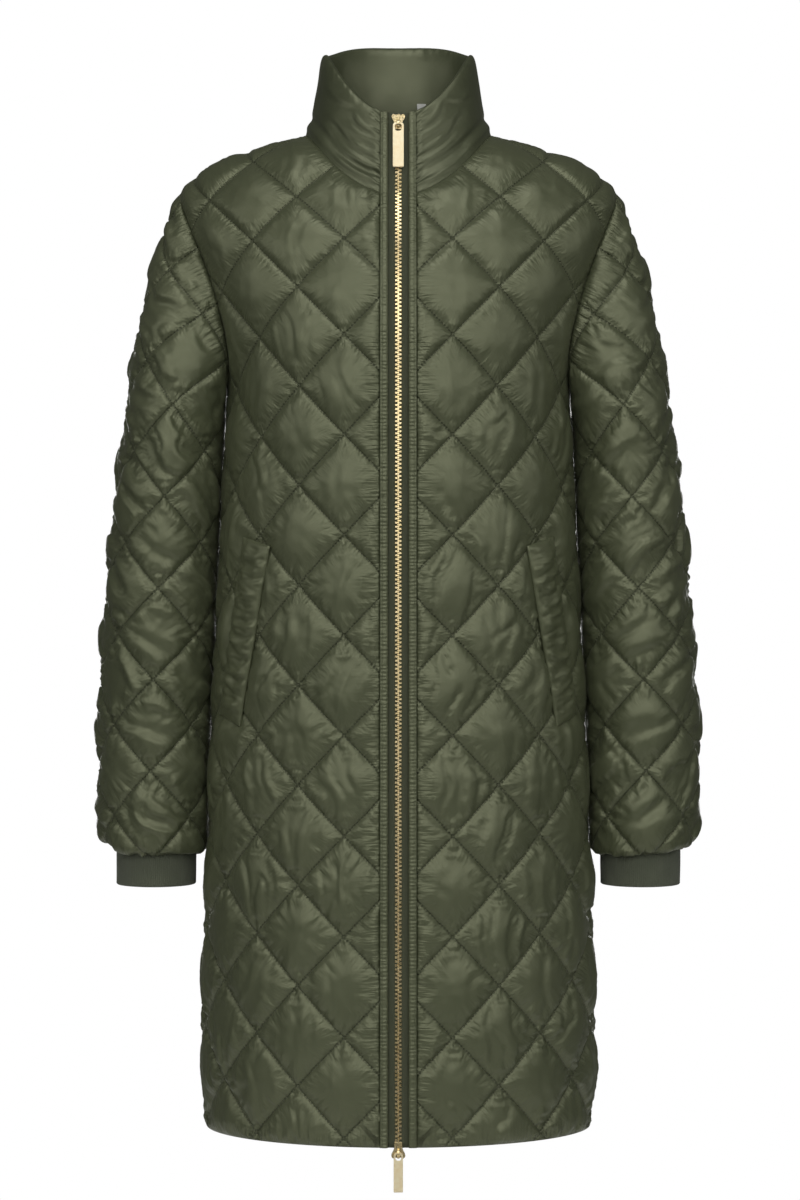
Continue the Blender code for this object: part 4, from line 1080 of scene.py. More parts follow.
def mark_mesh(mesh, panel, shell, outer):
    """Set the lining's material, the quilting's map, and creases along stitches and edges."""
    index = np.zeros(len(mesh.polygons), dtype=np.int32)
    index[shell:] = 1
    mesh.polygons.foreach_set("material_index", index)
    flat = np.vstack([panel.flat, panel.inner_flat])
    spots = in_diamonds(flat, panel.lattice)
    add_vectors(mesh, "spot", np.column_stack([spots, outer_share(panel, len(flat))]))
    seam = np.zeros((len(flat), 3))
    seam[:len(panel.flat)] = np.column_stack([panel.seam, panel.seam_along, panel.seam_depth])
    add_vectors(mesh, "seam", seam)
    corners = read(mesh.loops, "vertex_index", len(mesh.loops), np.int32)
    quilt = mesh.uv_layers.new(name="quilt")
    quilt.uv.foreach_set("vector", spots[corners].ravel())
    ends = read(mesh.edges, "vertices", len(mesh.edges) * 2, np.int32).reshape(-1, 2)
    grid = np.vstack([panel.grid, np.full((len(panel.inner_flat), 2), 1)])
    first, second = grid[ends[:, 0]], grid[ends[:, 1]]
    along = ((first == second) & (first % CELLS == 0)).any(axis=1)
    at_edge = np.zeros(len(flat), dtype=bool)
    at_edge[:panel.size] = True
    at_edge[outer:outer + panel.size] = True
    crease = np.where(along, CREASE, 0.0)
    crease[at_edge[ends].all(axis=1)] = 1.0
    mesh.attributes.new("crease_edge", "FLOAT", "EDGE").data.foreach_set("value", crease)


def outer_share(panel, count):
    """1 on the outer cloth inside its edge, 0 on the edge and the lining."""
    share = np.zeros(count)
    share[panel.size:len(panel.flat)] = panel.freedom[panel.size:]
    return share


def add_vectors(mesh, name, values):
    data = mesh.attributes.new(name, "FLOAT_VECTOR", "POINT").data
    data.foreach_set("vector", values.astype(np.float32).ravel())


# ---------------------------------------------------------------- materials
OLIVE = (0.052, 0.059, 0.032, 1.0)
OLIVE_LIGHT = (0.061, 0.068, 0.038, 1.0)
OLIVE_RIB = (0.049, 0.057, 0.032, 1.0)
OLIVE_RIB_LIGHT = (0.062, 0.071, 0.042, 1.0)
OLIVE_TAPE = (0.047, 0.052, 0.028, 1.0)
OLIVE_TAPE_LIGHT = (0.060, 0.066, 0.038, 1.0)
# painted shade: the collar's satin is a darker copy of the same olive, standing in for the lower light
# on the upright collar
COLLAR_SHADED_TONES = ((0.037, 0.043, 0.023, 1.0), (0.043, 0.049, 0.027, 1.0))
# painted shade: the thin dark line along each stitch is painted shade in its groove; the dashes are the
# thread, darkened also by painted shadow in its needle holes
STITCH_THREAD_AND_GROOVE_SHADE = (0.022, 0.026, 0.015, 1.0)
GOLD = (0.70, 0.56, 0.28, 1.0)
GOLD_WORN = (0.76, 0.63, 0.38, 1.0)
# painted highlight: the pulls' gold is paler and only half metallic, so its diffuse colour stands in for
# the light box they reflect
PULL_GOLD_PAINTED_BRIGHT = (0.80, 0.72, 0.50, 1.0)
PALE = (0.55, 0.55, 0.52, 1.0)
PALE_DULL = (0.42, 0.42, 0.39, 1.0)
BACKDROP = (0.9, 0.9, 0.9, 1.0)
SATIN_SHINE = {"Sheen Weight": 0.05, "Sheen Roughness": 0.4, "Sheen Tint": (0.75, 0.8, 0.5, 1.0),
               "Specular IOR Level": 0.82, "Specular Tint": (0.90, 0.93, 0.62, 1.0)}

# Stitches and fine puckers in the material: counts and widths in parts of a diamond's side,
# the rest in metres
STITCHES_A_SIDE = 20.0
# half width of the painted groove shade along each stitch
LINE_HALF = 0.012
PUCKER_GRAIN = 0.0034
PUCKER_REACH = 0.0034
PUCKER_BUMP = 0.0011
SEAM_GRAIN = 0.0024
SEAM_REACH = 0.0045
SEAM_BUMP = 0.0012


class Material:
    """A procedural material, built up node by node on a Principled shader."""

    def __init__(self, name, roughness, metallic=0.0):
        self.made = bpy.data.materials.new(name)
        self.made.use_nodes = True
        self.nodes = self.made.node_tree.nodes
        self.links = self.made.node_tree.links
        self.shader = self.nodes["Principled BSDF"]
        self.shader.inputs["Roughness"].default_value = roughness
        self.shader.inputs["Metallic"].default_value = metallic
        self.place = self.node("TexCoord").outputs["Object"]
        self.height = None

    def node(self, kind, inputs=None, **settings):
        made = self.nodes.new("ShaderNode" + kind)
        for key, value in settings.items():
            setattr(made, key, value)
        for socket, value in (inputs or {}).items():
            self.feed(made.inputs[socket], value)
        return made

    def feed(self, socket, value):
        if isinstance(value, bpy.types.NodeSocket):
            self.links.new(value, socket)
        else:
            socket.default_value = value

    def math(self, operation, a, b=0.0):
        return self.node("Math", {0: a, 1: b}, operation=operation).outputs[0]

    def noise(self, scale, detail, stretch=None):
        place = self.place
        if stretch:
            place = self.node("Mapping", {"Vector": place, "Scale": stretch}).outputs[0]
        inputs = {"Vector": place, "Scale": scale, "Detail": detail}
        return self.node("TexNoise", inputs).outputs["Fac"]

    def spread(self, value, low, high, to_low=0.0, to_high=1.0):
        inputs = {"Value": value, "From Min": low, "From Max": high,
                  "To Min": to_low, "To Max": to_high}
        return self.node("MapRange", inputs).outputs[0]

    def mix(self, share, first, second):
        made = self.node("Mix", {0: share, 6: first, 7: second}, data_type="RGBA")
        return made.outputs[2]

    def put(self, socket, value):
        self.feed(self.shader.inputs[socket], value)

    def bump(self, height, distance, strength=1.0):
        inputs = {"Height": height, "Distance": distance, "Strength": strength}
        if self.height is not None:
            inputs["Normal"] = self.height
        self.height = self.node("Bump", inputs).outputs[0]
        self.links.new(self.height, self.shader.inputs["Normal"])


def satin(name, stitched=False, tones=(OLIVE, OLIVE_LIGHT)):
    """Olive satin nylon; stitched adds the thread, needle marks and puckers of the quilting."""
    cloth = Material(name, 0.45)
    for socket, value in SATIN_SHINE.items():
        cloth.put(socket, value)
    drift = cloth.spread(cloth.noise(9.0, 2.0), 0.35, 0.65)
    colour = cloth.mix(drift, *tones)
    cloth.put("Roughness", cloth.spread(cloth.noise(70.0, 3.0), 0.3, 0.7, 0.37, 0.45))
    cloth.bump(cloth.noise(60.0, 2.0), 0.0012, 0.3)
    cloth.bump(cloth.noise(2600.0, 1.0), 0.00012, 0.3)
    if stitched:
        colour = stitch_marks(cloth, colour)
    cloth.put("Base Color", colour)
    return cloth.made


def fall_off(cloth, distance, reach):
    """The shader's near_line."""
    share = cloth.math("DIVIDE", distance, reach)
    return cloth.math("MULTIPLY", share, cloth.math("EXPONENT", cloth.math("SUBTRACT", 1.0, share)))


def stitch_marks(cloth, colour):
    """Paint shade into the sunken groove along each stitch line, and darker dashes for the thread and
    the shadow in its needle holes; dent the quilting where the thread runs, from the quilting's map, and
    draw the cloth beside it into fine puckers that fan out over each diamond."""
    spot = cloth.node("UVMap", uv_map="quilt").outputs[0]
    parts = cloth.node("SeparateXYZ", {0: spot}).outputs
    lines, dashes, puckers = [], [], []
    for across, along in ((parts[0], parts[1]), (parts[1], parts[0])):
        shifted = cloth.math("ADD", across, 0.5)
        off = cloth.math("ABSOLUTE", cloth.math("SUBTRACT", cloth.math("FRACT", shifted), 0.5))
        line = cloth.spread(off, LINE_HALF * 0.7, LINE_HALF * 1.5, 1.0, 0.0)
        beat = cloth.math("FRACT", cloth.math("MULTIPLY", along, STITCHES_A_SIDE))
        beat = cloth.math("ABSOLUTE", cloth.math("SUBTRACT", beat, 0.5))
        lines.append(line)
        dashes.append(cloth.math("MULTIPLY", line, cloth.spread(beat, 0.20, 0.32, 1.0, 0.0)))
        inside = cloth.math("SUBTRACT", cloth.math("FRACT", along), 0.5)
        fan = cloth.math("SUBTRACT", 1.0, cloth.math("MULTIPLY", off, 1.1))
        place = cloth.math("MULTIPLY", cloth.math("DIVIDE", inside, fan), DIAMOND_SIDE / PUCKER_GRAIN)
        number = cloth.math("ADD", cloth.math("MULTIPLY", cloth.math("FLOOR", across), 7.3),
                            cloth.math("MULTIPLY", cloth.math("FLOOR", along), 3.1))
        vector = cloth.node("CombineXYZ", {0: place, 1: cloth.math("MULTIPLY", off, 6.0), 2: number})
        wave = cloth.node("TexNoise", {"Vector": vector.outputs[0], "Scale": 1.0, "Detail": 1.5})
        reach = fall_off(cloth, off, PUCKER_REACH / DIAMOND_SIDE)
        puckers.append(cloth.math("MULTIPLY", wave.outputs[0], reach))
    line = cloth.math("MAXIMUM", lines[0], lines[1])
    dash = cloth.math("MAXIMUM", dashes[0], dashes[1])
    # painted shade: line darkens the whole stitch groove as shade, dash marks the thread and the shadow
    # in its needle holes
    shade = cloth.math("ADD", cloth.math("MULTIPLY", line, 0.22), cloth.math("MULTIPLY", dash, 0.65))
    cloth.bump(cloth.math("ADD", puckers[0], puckers[1]), PUCKER_BUMP, 1.0)
    cloth.bump(cloth.math("SUBTRACT", 1.0, dash), 0.0008, 0.9)
    far = cloth.node("Attribute", attribute_name="seam")
    seam = cloth.node("SeparateXYZ", {0: far.outputs["Vector"]}).outputs
    along = cloth.math("MULTIPLY", seam[1], 1 / SEAM_GRAIN)
    vector = cloth.node("CombineXYZ", {0: along, 1: cloth.math("MULTIPLY", seam[0], 60.0)})
    wave = cloth.node("TexNoise", {"Vector": vector.outputs[0], "Scale": 1.0, "Detail": 1.0})
    ladder = cloth.math("MULTIPLY", wave.outputs[0], fall_off(cloth, seam[0], SEAM_REACH))
    cloth.bump(cloth.math("MULTIPLY", ladder, cloth.math("MULTIPLY", seam[2], 1000.0)), SEAM_BUMP, 1.0)
    return cloth.mix(shade, colour, STITCH_THREAD_AND_GROOVE_SHADE)


def rib_knit():
    """Matt knit: the ribs are in the mesh, the loops of yarn in the finish."""
    knit = Material("rib_knit", 0.86)
    knit.put("Sheen Weight", 0.15)
    knit.put("Sheen Roughness", 0.6)
    drift = knit.spread(knit.noise(60.0, 3.0), 0.3, 0.7)
    knit.put("Base Color", knit.mix(drift, OLIVE_RIB, OLIVE_RIB_LIGHT))
    knit.bump(knit.noise(900.0, 2.0, stretch=(1.0, 1.0, 0.5)), 0.0004, 0.7)
    return knit.made


def tape_weave():
    tape = Material("zip_tape", 0.8)
    tape.put("Sheen Weight", 0.05)
    tape.put("Specular IOR Level", 0.25)
    parts = tape.node("SeparateXYZ", {0: tape.place}).outputs
    across = tape.math("SINE", tape.math("MULTIPLY", parts[0], 2 * pi / 0.0011))
    along = tape.math("SINE", tape.math("MULTIPLY", parts[2], 2 * pi / 0.0009))
    weave = tape.math("MULTIPLY", across, along)
    tape.put("Base Color", tape.mix(tape.spread(weave, -1.0, 1.0), OLIVE_TAPE, OLIVE_TAPE_LIGHT))
    tape.bump(weave, 0.00015, 0.8)
    return tape.made


def gold(name, bright, roughness, metallic):
    """Pale gold plating; its base tone and gloss drift a little, as handling leaves it."""
    metal = Material(name, roughness, metallic)
    worn = metal.spread(metal.noise(240.0, 4.0), 0.3, 0.7)
    metal.put("Base Color", metal.mix(worn, bright, GOLD_WORN))
    gloss = metal.noise(500.0, 3.0)
    metal.put("Roughness", metal.spread(gloss, 0.3, 0.7, roughness - 0.04, roughness + 0.08))
    metal.bump(metal.noise(1400.0, 2.0), 0.00003, 0.3)
    return metal.made


def pale_tab():
    tab = Material("pale_tab", 0.75)
    tab.put("Sheen Weight", 0.2)
    weave = tab.noise(1800.0, 1.0, stretch=(1.0, 1.0, 2.0))
    tab.put("Base Color", tab.mix(tab.spread(weave, 0.3, 0.7), PALE, PALE_DULL))
    tab.bump(weave, 0.0001, 0.6)
    return tab.made


# ---------------------------------------------------------------- making meshes
def rings_object(name, rings, material, closed=False):
    """A surface through rings of equally many points: closed to a loop, or capped."""
    size = len(rings[0])
    points = [spot for ring in rings for spot in ring]
    faces = []
    for row in range(len(rings) if closed else len(rings) - 1):
        here, there = row * size, (row + 1) % len(rings) * size
        for k in range(size):
            nxt = (k + 1) % size
            faces.append([here + k, here + nxt, there + nxt, there + k])
    if not closed:
        faces.append(list(range(size))[::-1])
        faces.append([len(points) - size + k for k in range(size)])
    mesh = new_mesh(name, points, outward_faces(points, faces))
    mesh.shade_smooth()
    return add(name, mesh, material)


def outward_faces(points, faces):
    """The same faces, turned to enclose a positive volume."""
    points = np.array([tuple(p) for p in points])
    volume = 0.0
    for face in faces:
        a = points[face[0]]
        for k in range(1, len(face) - 1):
            volume += a.dot(np.cross(points[face[k]], points[face[k + 1]]))
    return faces if volume > 0 else [face[::-1] for face in faces]


def smooth_line(rows, pieces):
    """Points on a smooth curve through the rows, with equally many in each stretch."""
    rows = np.array(rows, dtype=float)
    before = np.vstack([2 * rows[0] - rows[1], rows, 2 * rows[-1] - rows[-2]])
    line = []
    for k in range(len(rows) - 1):
        a, b, c, d = before[k:k + 4]
        for step in range(pieces):
            u = step / pieces
            line.append(0.5 * (2 * b + (c - a) * u + (2 * a - 5 * b + 4 * c - d) * u * u
                               + (3 * b - a - 3 * c + d) * u ** 3))
    line.append(rows[-1])
    return np.array(line)


# ---------------------------------------------------------------- plain cloth pieces
Fold = namedtuple("Fold", "side x_in z_in x_out z_out half height")
COLLAR_FOLDS = (
    # seen from the front, from the zip's side outwards
    Fold(1, 0.018, -0.0480, 0.060, -0.0160, 0.0030, 0.0024),
    Fold(1, 0.017, -0.0380, 0.066, 0.0020, 0.0036, 0.0020),
    Fold(1, 0.018, -0.0270, 0.052, 0.0060, 0.0028, 0.0020),
    Fold(1, 0.020, -0.0130, 0.058, 0.0210, 0.0040, 0.0018),
    Fold(1, 0.018, -0.0030, 0.040, 0.0230, 0.0026, 0.0018),
    Fold(1, 0.040, -0.0420, 0.074, -0.0180, 0.0034, 0.0014),
    Fold(-1, 0.018, -0.0530, 0.062, -0.0230, 0.0030, 0.0022),
    Fold(-1, 0.017, -0.0430, 0.070, -0.0060, 0.0034, 0.0022),
    Fold(-1, 0.018, -0.0310, 0.056, 0.0030, 0.0030, 0.0020),
    Fold(-1, 0.018, -0.0180, 0.064, 0.0150, 0.0042, 0.0018),
    Fold(-1, 0.018, -0.0080, 0.042, 0.0130, 0.0026, 0.0020),
    Fold(-1, 0.040, 0.0200, 0.066, 0.0420, 0.0034, 0.0012),
    Fold(1, 0.046, 0.0260, 0.066, 0.0360, 0.0030, 0.0012),
)
FOLD_SHARE = 0.50
FOLD_SAG = 0.004
# The roll over the neck seam and the dip above it: place up the collar, half width, height
ROLL = (0.10, 0.055, 0.0026, 0.21, 0.045, 0.0015)
# Puckers beside the zip, and at the rim: from one to the next, their reach, and height
COLLAR_LADDER = (0.0026, 0.0080, 0.00336)
RIM_PUCKERS = (0.0060, 0.09, 0.0011)
SLOW_SWELL = (34, 0.0012)
OUTER_STEPS = 22
INNER_STEPS = 5
FILL_RUN = 0.012           # from the zip's edge to the collar's full padding


def fold_height(spot):
    """The folds from the zip over the collar's front: soft ridges, each over a hollow."""
    total = 0.0
    for fold in COLLAR_FOLDS:
        if spot.x * fold.side <= 0:
            continue
        start, end = Vector((fold.x_in, fold.z_in)), Vector((fold.x_out, fold.z_out))
        line = end - start
        here = Vector((abs(spot.x), spot.z)) - start
        along = here.dot(line) / line.length_squared
        curve = FOLD_SAG * sin(pi * min(1.0, max(0.0, along)))
        off = (here.y * line.x - here.x * line.y) / line.length + curve
        ends = exp(-(max(0.0, abs(along - 0.42) - 0.30) / 0.26) ** 2)
        off /= fold.half
        total += FOLD_SHARE * fold.height * ends * (exp(-off ** 2) - 0.7 * exp(-(off + 1.5) ** 2))
    return total


def collar_wrinkle(spot, from_zip, up, out_side):
    """How far the collar's cloth stands out at a place of its outer or inner face."""
    grain, reach, height = COLLAR_LADDER
    ladder = noise.noise(Vector((from_zip * 60, 0, (spot.z - 0.5 * from_zip) / grain)))
    total = height * ladder * exp(-(from_zip / reach) ** 2)
    slow = SLOW_SWELL[1] * noise.noise(spot * SLOW_SWELL[0] + Vector((0, 0, 7)))
    grain, depth, height = RIM_PUCKERS
    run = (spot.x - spot.y) / grain
    rim = noise.noise(Vector((run, up * 6, 2.0))) * exp(-((1 - up) / depth) ** 2)
    total += slow + height * rim
    if out_side:
        total += fold_height(spot) if spot.y < 0.02 else 0.0
        roll_at, roll_half, roll_height, dip_at, dip_half, dip_depth = ROLL
        total += roll_height * exp(-((up - roll_at) / roll_half) ** 2)
        total -= dip_depth * exp(-((up - dip_at) / dip_half) ** 2)
    return total


def make_collar(material):
    """The padded stand collar, drawn in by its seams, its rim and the zip."""
    pads = [(0.0, 0.0)] + [(pad.up, pad.out) for pad in COLLAR_PAD] + [(0.0, -WALL)]
    top = max(range(len(pads)), key=lambda k: pads[k][0])
    middle = top * OUTER_STEPS
    profile = list(smooth_line(pads, OUTER_STEPS)[:middle])
    profile += list(smooth_line(pads, INNER_STEPS)[top * INNER_STEPS:])
    halves = []
    for side in (-1, 1):
        rings, walked, last = [], 0.0, None
        for face, foot, top in neck_turns():
            base, rise, normal = collar_frame(face, foot, top)
            seam = neck_seam(face, foot, top)[1]
            walked += (base - last).length if last else 0.0
            last = base
            near_front = 1.0
            if face > 0:
                near_front = min(1.0, COLLAR_EDGE_FILL + max(0.0, base.x - FRONT_EDGE) / FILL_RUN)
            mirror = Vector((side, 1, 1))
            ring = []
            for k, (up, out) in enumerate(profile):
                inner_point = 0 < k < len(profile) - 1
                out = (out - COLLAR_MIDDLE) * near_front + COLLAR_MIDDLE if inner_point else out
                spot = (base + rise * up + normal * out) * mirror
                swing = sin(pi * min(1.0, max(0.0, up))) ** 0.4 if up > 0 else 0.0
                swing = max(swing, 0.6 if up > 0.9 else 0.0)
                crease = collar_wrinkle(spot, walked, up, k < middle) * swing
                outward = normal if k < middle else -normal
                ring.append(spot + outward * mirror * crease)
            ring[-1] = (base - seam * WALL) * mirror
            rings.append(ring)
        halves.append(rings)
    whole = halves[0] + halves[1][-2::-1]
    return rings_object("padded_collar", whole, material)


def strip_object(name, low, high, section, material, side=1, step=0.0008, shape=None):
    """A strip that follows the zip; shape may move a point by its height and place."""
    count = int((high - low) / step)
    rings = []
    for k in range(count + 1):
        z = low + (high - low) * k / count
        ring = []
        for n, (x, out) in enumerate(section):
            if shape:
                x, out = shape(z, n, x, out)
            spot = zip_point(x, z, out)
            ring.append(Vector((spot.x * side, spot.y, spot.z)))
        rings.append(ring)
    return rings_object(name, rings, material)


def band_shape(seed):
    """The ladder of short puckers between a band's two rows of stitches."""
    def shape(z, n, x, out):
        if out < 0:
            return x, out
        mid = 1 - abs(x - sum(BAND) / 2) / ((BAND[1] - BAND[0]) / 2)
        ladder = noise.noise(Vector((seed + x * 90, 0, z / BAND_LADDER)))
        rungs = sin(2 * pi * z / (2.2 * BAND_LADDER) + 2.5 * noise.noise(Vector((seed, 3, z * 50))))
        slow = noise.noise(Vector((seed, 5, z * 40)))
        rise = 0.0008 * ladder + 0.0003 * (rungs + slow)
        pinch = BAND_PINCH * exp(-((mid - 0.28) / 0.13) ** 2)
        return x, out + rise * min(1.0, max(0.0, mid) * 2.5) - pinch
    return shape


def make_bands(material):
    middle, half = sum(BAND) / 2, (BAND[1] - BAND[0]) / 2
    back, edge_out, crown = BAND_DEPTH
    outer = []
    for k in range(BAND_POINTS + 1):
        u = -1 + 2 * k / BAND_POINTS
        lift = edge_out - 0.0012 + (crown - edge_out + 0.0008) * (1 - abs(u) ** 4) ** 0.6
        outer.append((middle - half * u, lift))
    outer[0] = (BAND[1] + BAND_LAP, edge_out)
    section = [(BAND[0], back), (BAND[1] + BAND_LAP, back)] + outer
    pieces = []
    for label, side in SIDES:
        piece = strip_object("placket_" + label, HEM, ZIP_TOP, section, material, side,
                             shape=band_shape(11.0 + 7 * side))
        pieces.append((piece, "band_" + label))
    return pieces


def make_tapes(material):
    back, front = TAPE_DEPTH
    ridge_at = TAPE[0] + 0.0012
    section = [(TAPE_CORD, back), (TAPE[1], back), (TAPE[1], front), (ridge_at + 0.001, front),
               (ridge_at, front + 0.0005), (TAPE[0], front + 0.0004), (TAPE[0] - 0.0004, front),
               (TAPE_CORD, front)]
    pieces = []
    for label, side in SIDES:
        piece = strip_object("tape_" + label, HEM, ZIP_TOP, section, material, side, step=0.006)
        pieces.append((piece, "zip_tape_" + label))
    return pieces


TOOTH_PITCH = 0.00365
TOOTH_HIGH = 0.0021
TOOTH_HEAD = 0.0010        # how far a tooth reaches past the centre line


def tooth_mesh():
    """One tooth of the left side: a head with round corners on a narrower neck."""
    bm = bmesh.new()
    back, front = CHAIN_DEPTH
    outline = ((-CHAIN_HALF, -0.5), (-0.0016, -0.5), (-0.0008, -0.36), (-0.0001, -0.5),
               (TOOTH_HEAD * 0.7, -0.42), (TOOTH_HEAD, 0.0), (TOOTH_HEAD * 0.7, 0.42),
               (-0.0001, 0.5), (-0.0008, 0.36), (-0.0016, 0.5), (-CHAIN_HALF, 0.5))
    rings = []
    for out, shrink in ((back, 1.0), (front - 0.0004, 1.0), (front, 0.72)):
        rings.append([bm.verts.new((x * (0.9 if shrink < 1 else 1.0), -out, z * TOOTH_HIGH * shrink))
                      for x, z in outline])
    size = len(outline)
    for first, second in zip(rings, rings[1:]):
        for k in range(size):
            nxt = (k + 1) % size
            bm.faces.new((first[k], first[nxt], second[nxt], second[k]))
    bm.faces.new(rings[0][::-1])
    bm.faces.new(rings[-1])
    bmesh.ops.recalc_face_normals(bm, faces=bm.faces)
    return bm


def make_teeth(material):
    """The closed chain: teeth from the two tapes take turns up the middle."""
    low, high = (corner[2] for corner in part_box("zip_chain"))
    shape = mesh_of("tooth", tooth_mesh())
    chain = bmesh.new()
    count = int((high - low) / TOOTH_PITCH * 2)
    for k in range(count):
        z = low + (k + 0.5) * TOOTH_PITCH / 2
        place = zip_frame(z)
        if k % 2:
            place = place @ Matrix.Rotation(pi, 4, "Y")
        before = len(chain.verts)
        chain.from_mesh(shape)
        chain.verts.ensure_lookup_table()
        bmesh.ops.transform(chain, matrix=place, verts=chain.verts[before:])
    bmesh.ops.recalc_face_normals(chain, faces=chain.faces)
    bpy.data.meshes.remove(shape)
    return add("zip_teeth", mesh_of("zip_teeth", chain), material)


# ---------------------------------------------------------------- sliders and pulls
WELD = 0.00001


def plate(outline, thickness, holes=()):
    """A plate with its outline in local X and Z and its thickness along Y."""
    curve = bpy.data.curves.new("plate", "CURVE")
    curve.dimensions = "2D"
    curve.fill_mode = "BOTH"
    curve.extrude = thickness / 2
    for loop in (outline,) + tuple(holes):
        spline = curve.splines.new("POLY")
        spline.points.add(len(loop) - 1)
        for point, (x, y) in zip(spline.points, loop):
            point.co = (x, y, 0, 1)
        spline.use_cyclic_u = True
    thing = add("plate", curve)
    bpy.context.view_layer.update()
    mesh = bpy.data.meshes.new_from_object(thing.evaluated_get(bpy.context.evaluated_depsgraph_get()))
    bpy.data.objects.remove(thing)
    bpy.data.curves.remove(curve)
    bm = bmesh.new()
    bm.from_mesh(mesh)
    bpy.data.meshes.remove(mesh)
    bmesh.ops.remove_doubles(bm, verts=bm.verts, dist=WELD)
    bmesh.ops.dissolve_limit(bm, angle_limit=radians(1), verts=bm.verts, edges=bm.edges)
    bmesh.ops.transform(bm, matrix=Matrix.Rotation(pi / 2, 4, "X"), verts=bm.verts)
    bmesh.ops.recalc_face_normals(bm, faces=bm.faces)
    return bm


def metal_object(name, parts, axis, material, edge=0.0003):
    """One piece of metal from closed parts, with its edges rounded."""
    whole = bmesh.new()
    for part in parts:
        mesh = mesh_of("part", part)
        whole.from_mesh(mesh)
        bpy.data.meshes.remove(mesh)
    mesh = mesh_of(name, whole)
    mesh.transform(axis)
    mesh.shade_smooth()
    mesh.set_sharp_from_angle(angle=radians(40))
    piece = add(name, mesh, material)
    bevel = piece.modifiers.new("edges", "BEVEL")
    bevel.width = edge
    bevel.segments = 3
    bevel.limit_method = "ANGLE"
    bevel.angle_limit = radians(35)
    bevel.harden_normals = True
    return piece


def block(low, high):
    bm = bmesh.new()
    bmesh.ops.create_cube(bm, size=1.0)
    bmesh.ops.scale(bm, vec=Vector(high) - Vector(low), verts=bm.verts)
    bmesh.ops.translate(bm, vec=(Vector(high) + Vector(low)) / 2, verts=bm.verts)
    return bm


def moved(bm, offset):
    bmesh.ops.translate(bm, vec=offset, verts=bm.verts)
    return bm


def make_slider(name, axis, wide_end, material):
    """Two plates round the chain, the post between them and the arch for the pull."""
    low, high = (-SLIDER_SHORT, SLIDER_LONG)
    narrow, broad = (low, high) if wide_end > 0 else (high, low)
    turn = 1 if broad > narrow else -1
    rough_side = [(half, (broad if from_broad else narrow) + turn * up)
                  for half, from_broad, up in SLIDER_OUTLINE]
    right = [tuple(spot) for spot in smooth_line(rough_side, 4)]
    crown = [(0.0022, broad - turn * 0.0010), (0.0, broad + turn * 0.0002)]
    outline = right + crown + [(-x, y) for x, y in ([crown[0]] + right[::-1])]
    parts = []
    for back, front in (FRONT_PLATE, BACK_PLATE):
        parts.append(moved(plate(outline, front - back), (0, -(front + back) / 2, 0)))
    half, back, front = POST
    parts.append(block((-half, -front, POST_ENDS[0]), (half, -back, POST_ENDS[1])))
    arch = []
    for up, out in ARCH:
        turns = [pi * k / ARCH_STEPS for k in range(ARCH_STEPS + 1)]
        arch.append([(up * cos(turn), ARCH_FOOT + out * sin(turn)) for turn in turns])
    bridge = plate(arch[0] + arch[1][::-1], 2 * BRIDGE_HALF)
    # the arch stands in the plane of up and out: turn it about the vertical
    turn_up = Matrix(((0, 1, 0, 0), (0, 0, -1, 0), (1, 0, 0, 0), (0, 0, 0, 1)))
    bmesh.ops.transform(bridge, matrix=turn_up, verts=bridge.verts)
    bmesh.ops.recalc_face_normals(bridge, faces=bridge.faces)
    parts.append(bridge)
    return metal_object(name, parts, axis, material)


def make_pull(name, axis, size, material):
    """A flat tab with an arched head, a round hole in it and a fine softened rim."""
    outline = arched(size.half, -size.length, PULL_BAR, PULL_HEAD_RADIUS, PULL_FOOT_RADIUS, 8)
    round_hole = size.hole_half * 0.8
    hole = arched(size.hole_half, -size.hole_low, -PULL_BAR, round_hole, round_hole, 8)
    return metal_object(name, [plate(outline, PULL_THICK, (hole,))], axis, material, 0.0004)


# ---------------------------------------------------------------- pockets, cuffs, label
def welt_place(along, across):
    """A place on the welt, in cloth coordinates: along it downwards, across it outwards."""
    corners = [Vector((x, z)) for x, z in WELT]
    inner = corners[0].lerp(corners[1], along)
    outer = corners[3].lerp(corners[2], along)
    return inner.lerp(outer, across)


def welt_spot(along, across):
    """The point of the front under a place on the welt, and its normal."""
    spot = welt_place(along, across)
    angle = across_to(spot.x, spot.y)
    point = body_point(angle, spot.y, 1)
    outward = Vector((point.x, point.y, 0))
    flat = flat_body(angle, spot.y, 1)
    return point, normal_of(lambda s, t: on_body(s, t, 1), *flat, outward)


def make_welt(label, side, material, seed):
    """A padded strip whose filling is drawn into short wrinkles by its edge stitches."""
    rows, columns = WELT_GRID
    rings = []
    for r in range(rows + 1):
        along = r / rows
        ring = []
        for c in range(columns + 1):
            across = c / columns
            point, normal = welt_spot(along, across)
            edge_far = min(across, 1 - across) * 2
            end_far = min(along, 1 - along) * 12
            crown = min(1.0, edge_far * 1.6) ** 0.5 * min(1.0, end_far) ** 0.5
            bow = 0.5 * (across - 0.5) ** 2
            fold = noise.noise(Vector((seed + across * 1.2, across * 1.5, (along + bow * 0.3) * 22)))
            fine = noise.noise(Vector((seed + 3, across * 3.0, along * 60)))
            wrinkle = WELT_WRINKLES[0] * fold + WELT_WRINKLES[1] * fine
            lift = WELT_EDGE * 0.7 + (WELT_CROWN - WELT_EDGE) * crown
            lift += wrinkle * min(1.0, edge_far * 3.0) * min(1.0, end_far)
            lift -= WELT_PINCH * exp(-((across - WELT_STITCH) / 0.05) ** 2)
            ring.append(point + normal * (GAP + lift))
        for across in (1, 0):
            point, normal = welt_spot(along, across)
            ring.append(point + normal * GAP)
        rings.append([spot * Vector((side, 1, 1)) for spot in ring])
    return rings_object("welt_" + label, rings, material)


RIBS_ROUND = 126
RIB_LIFT = 0.0005
RIB_POINTS = (0.0, 0.62, 1.0, 0.62)
CUFF_ROWS = (-0.676, -0.682, -0.688, -0.694, -0.699)
CUFF_ROLL = (0.0009, 0.0007)   # how far the lower edge turns in, outside and inside


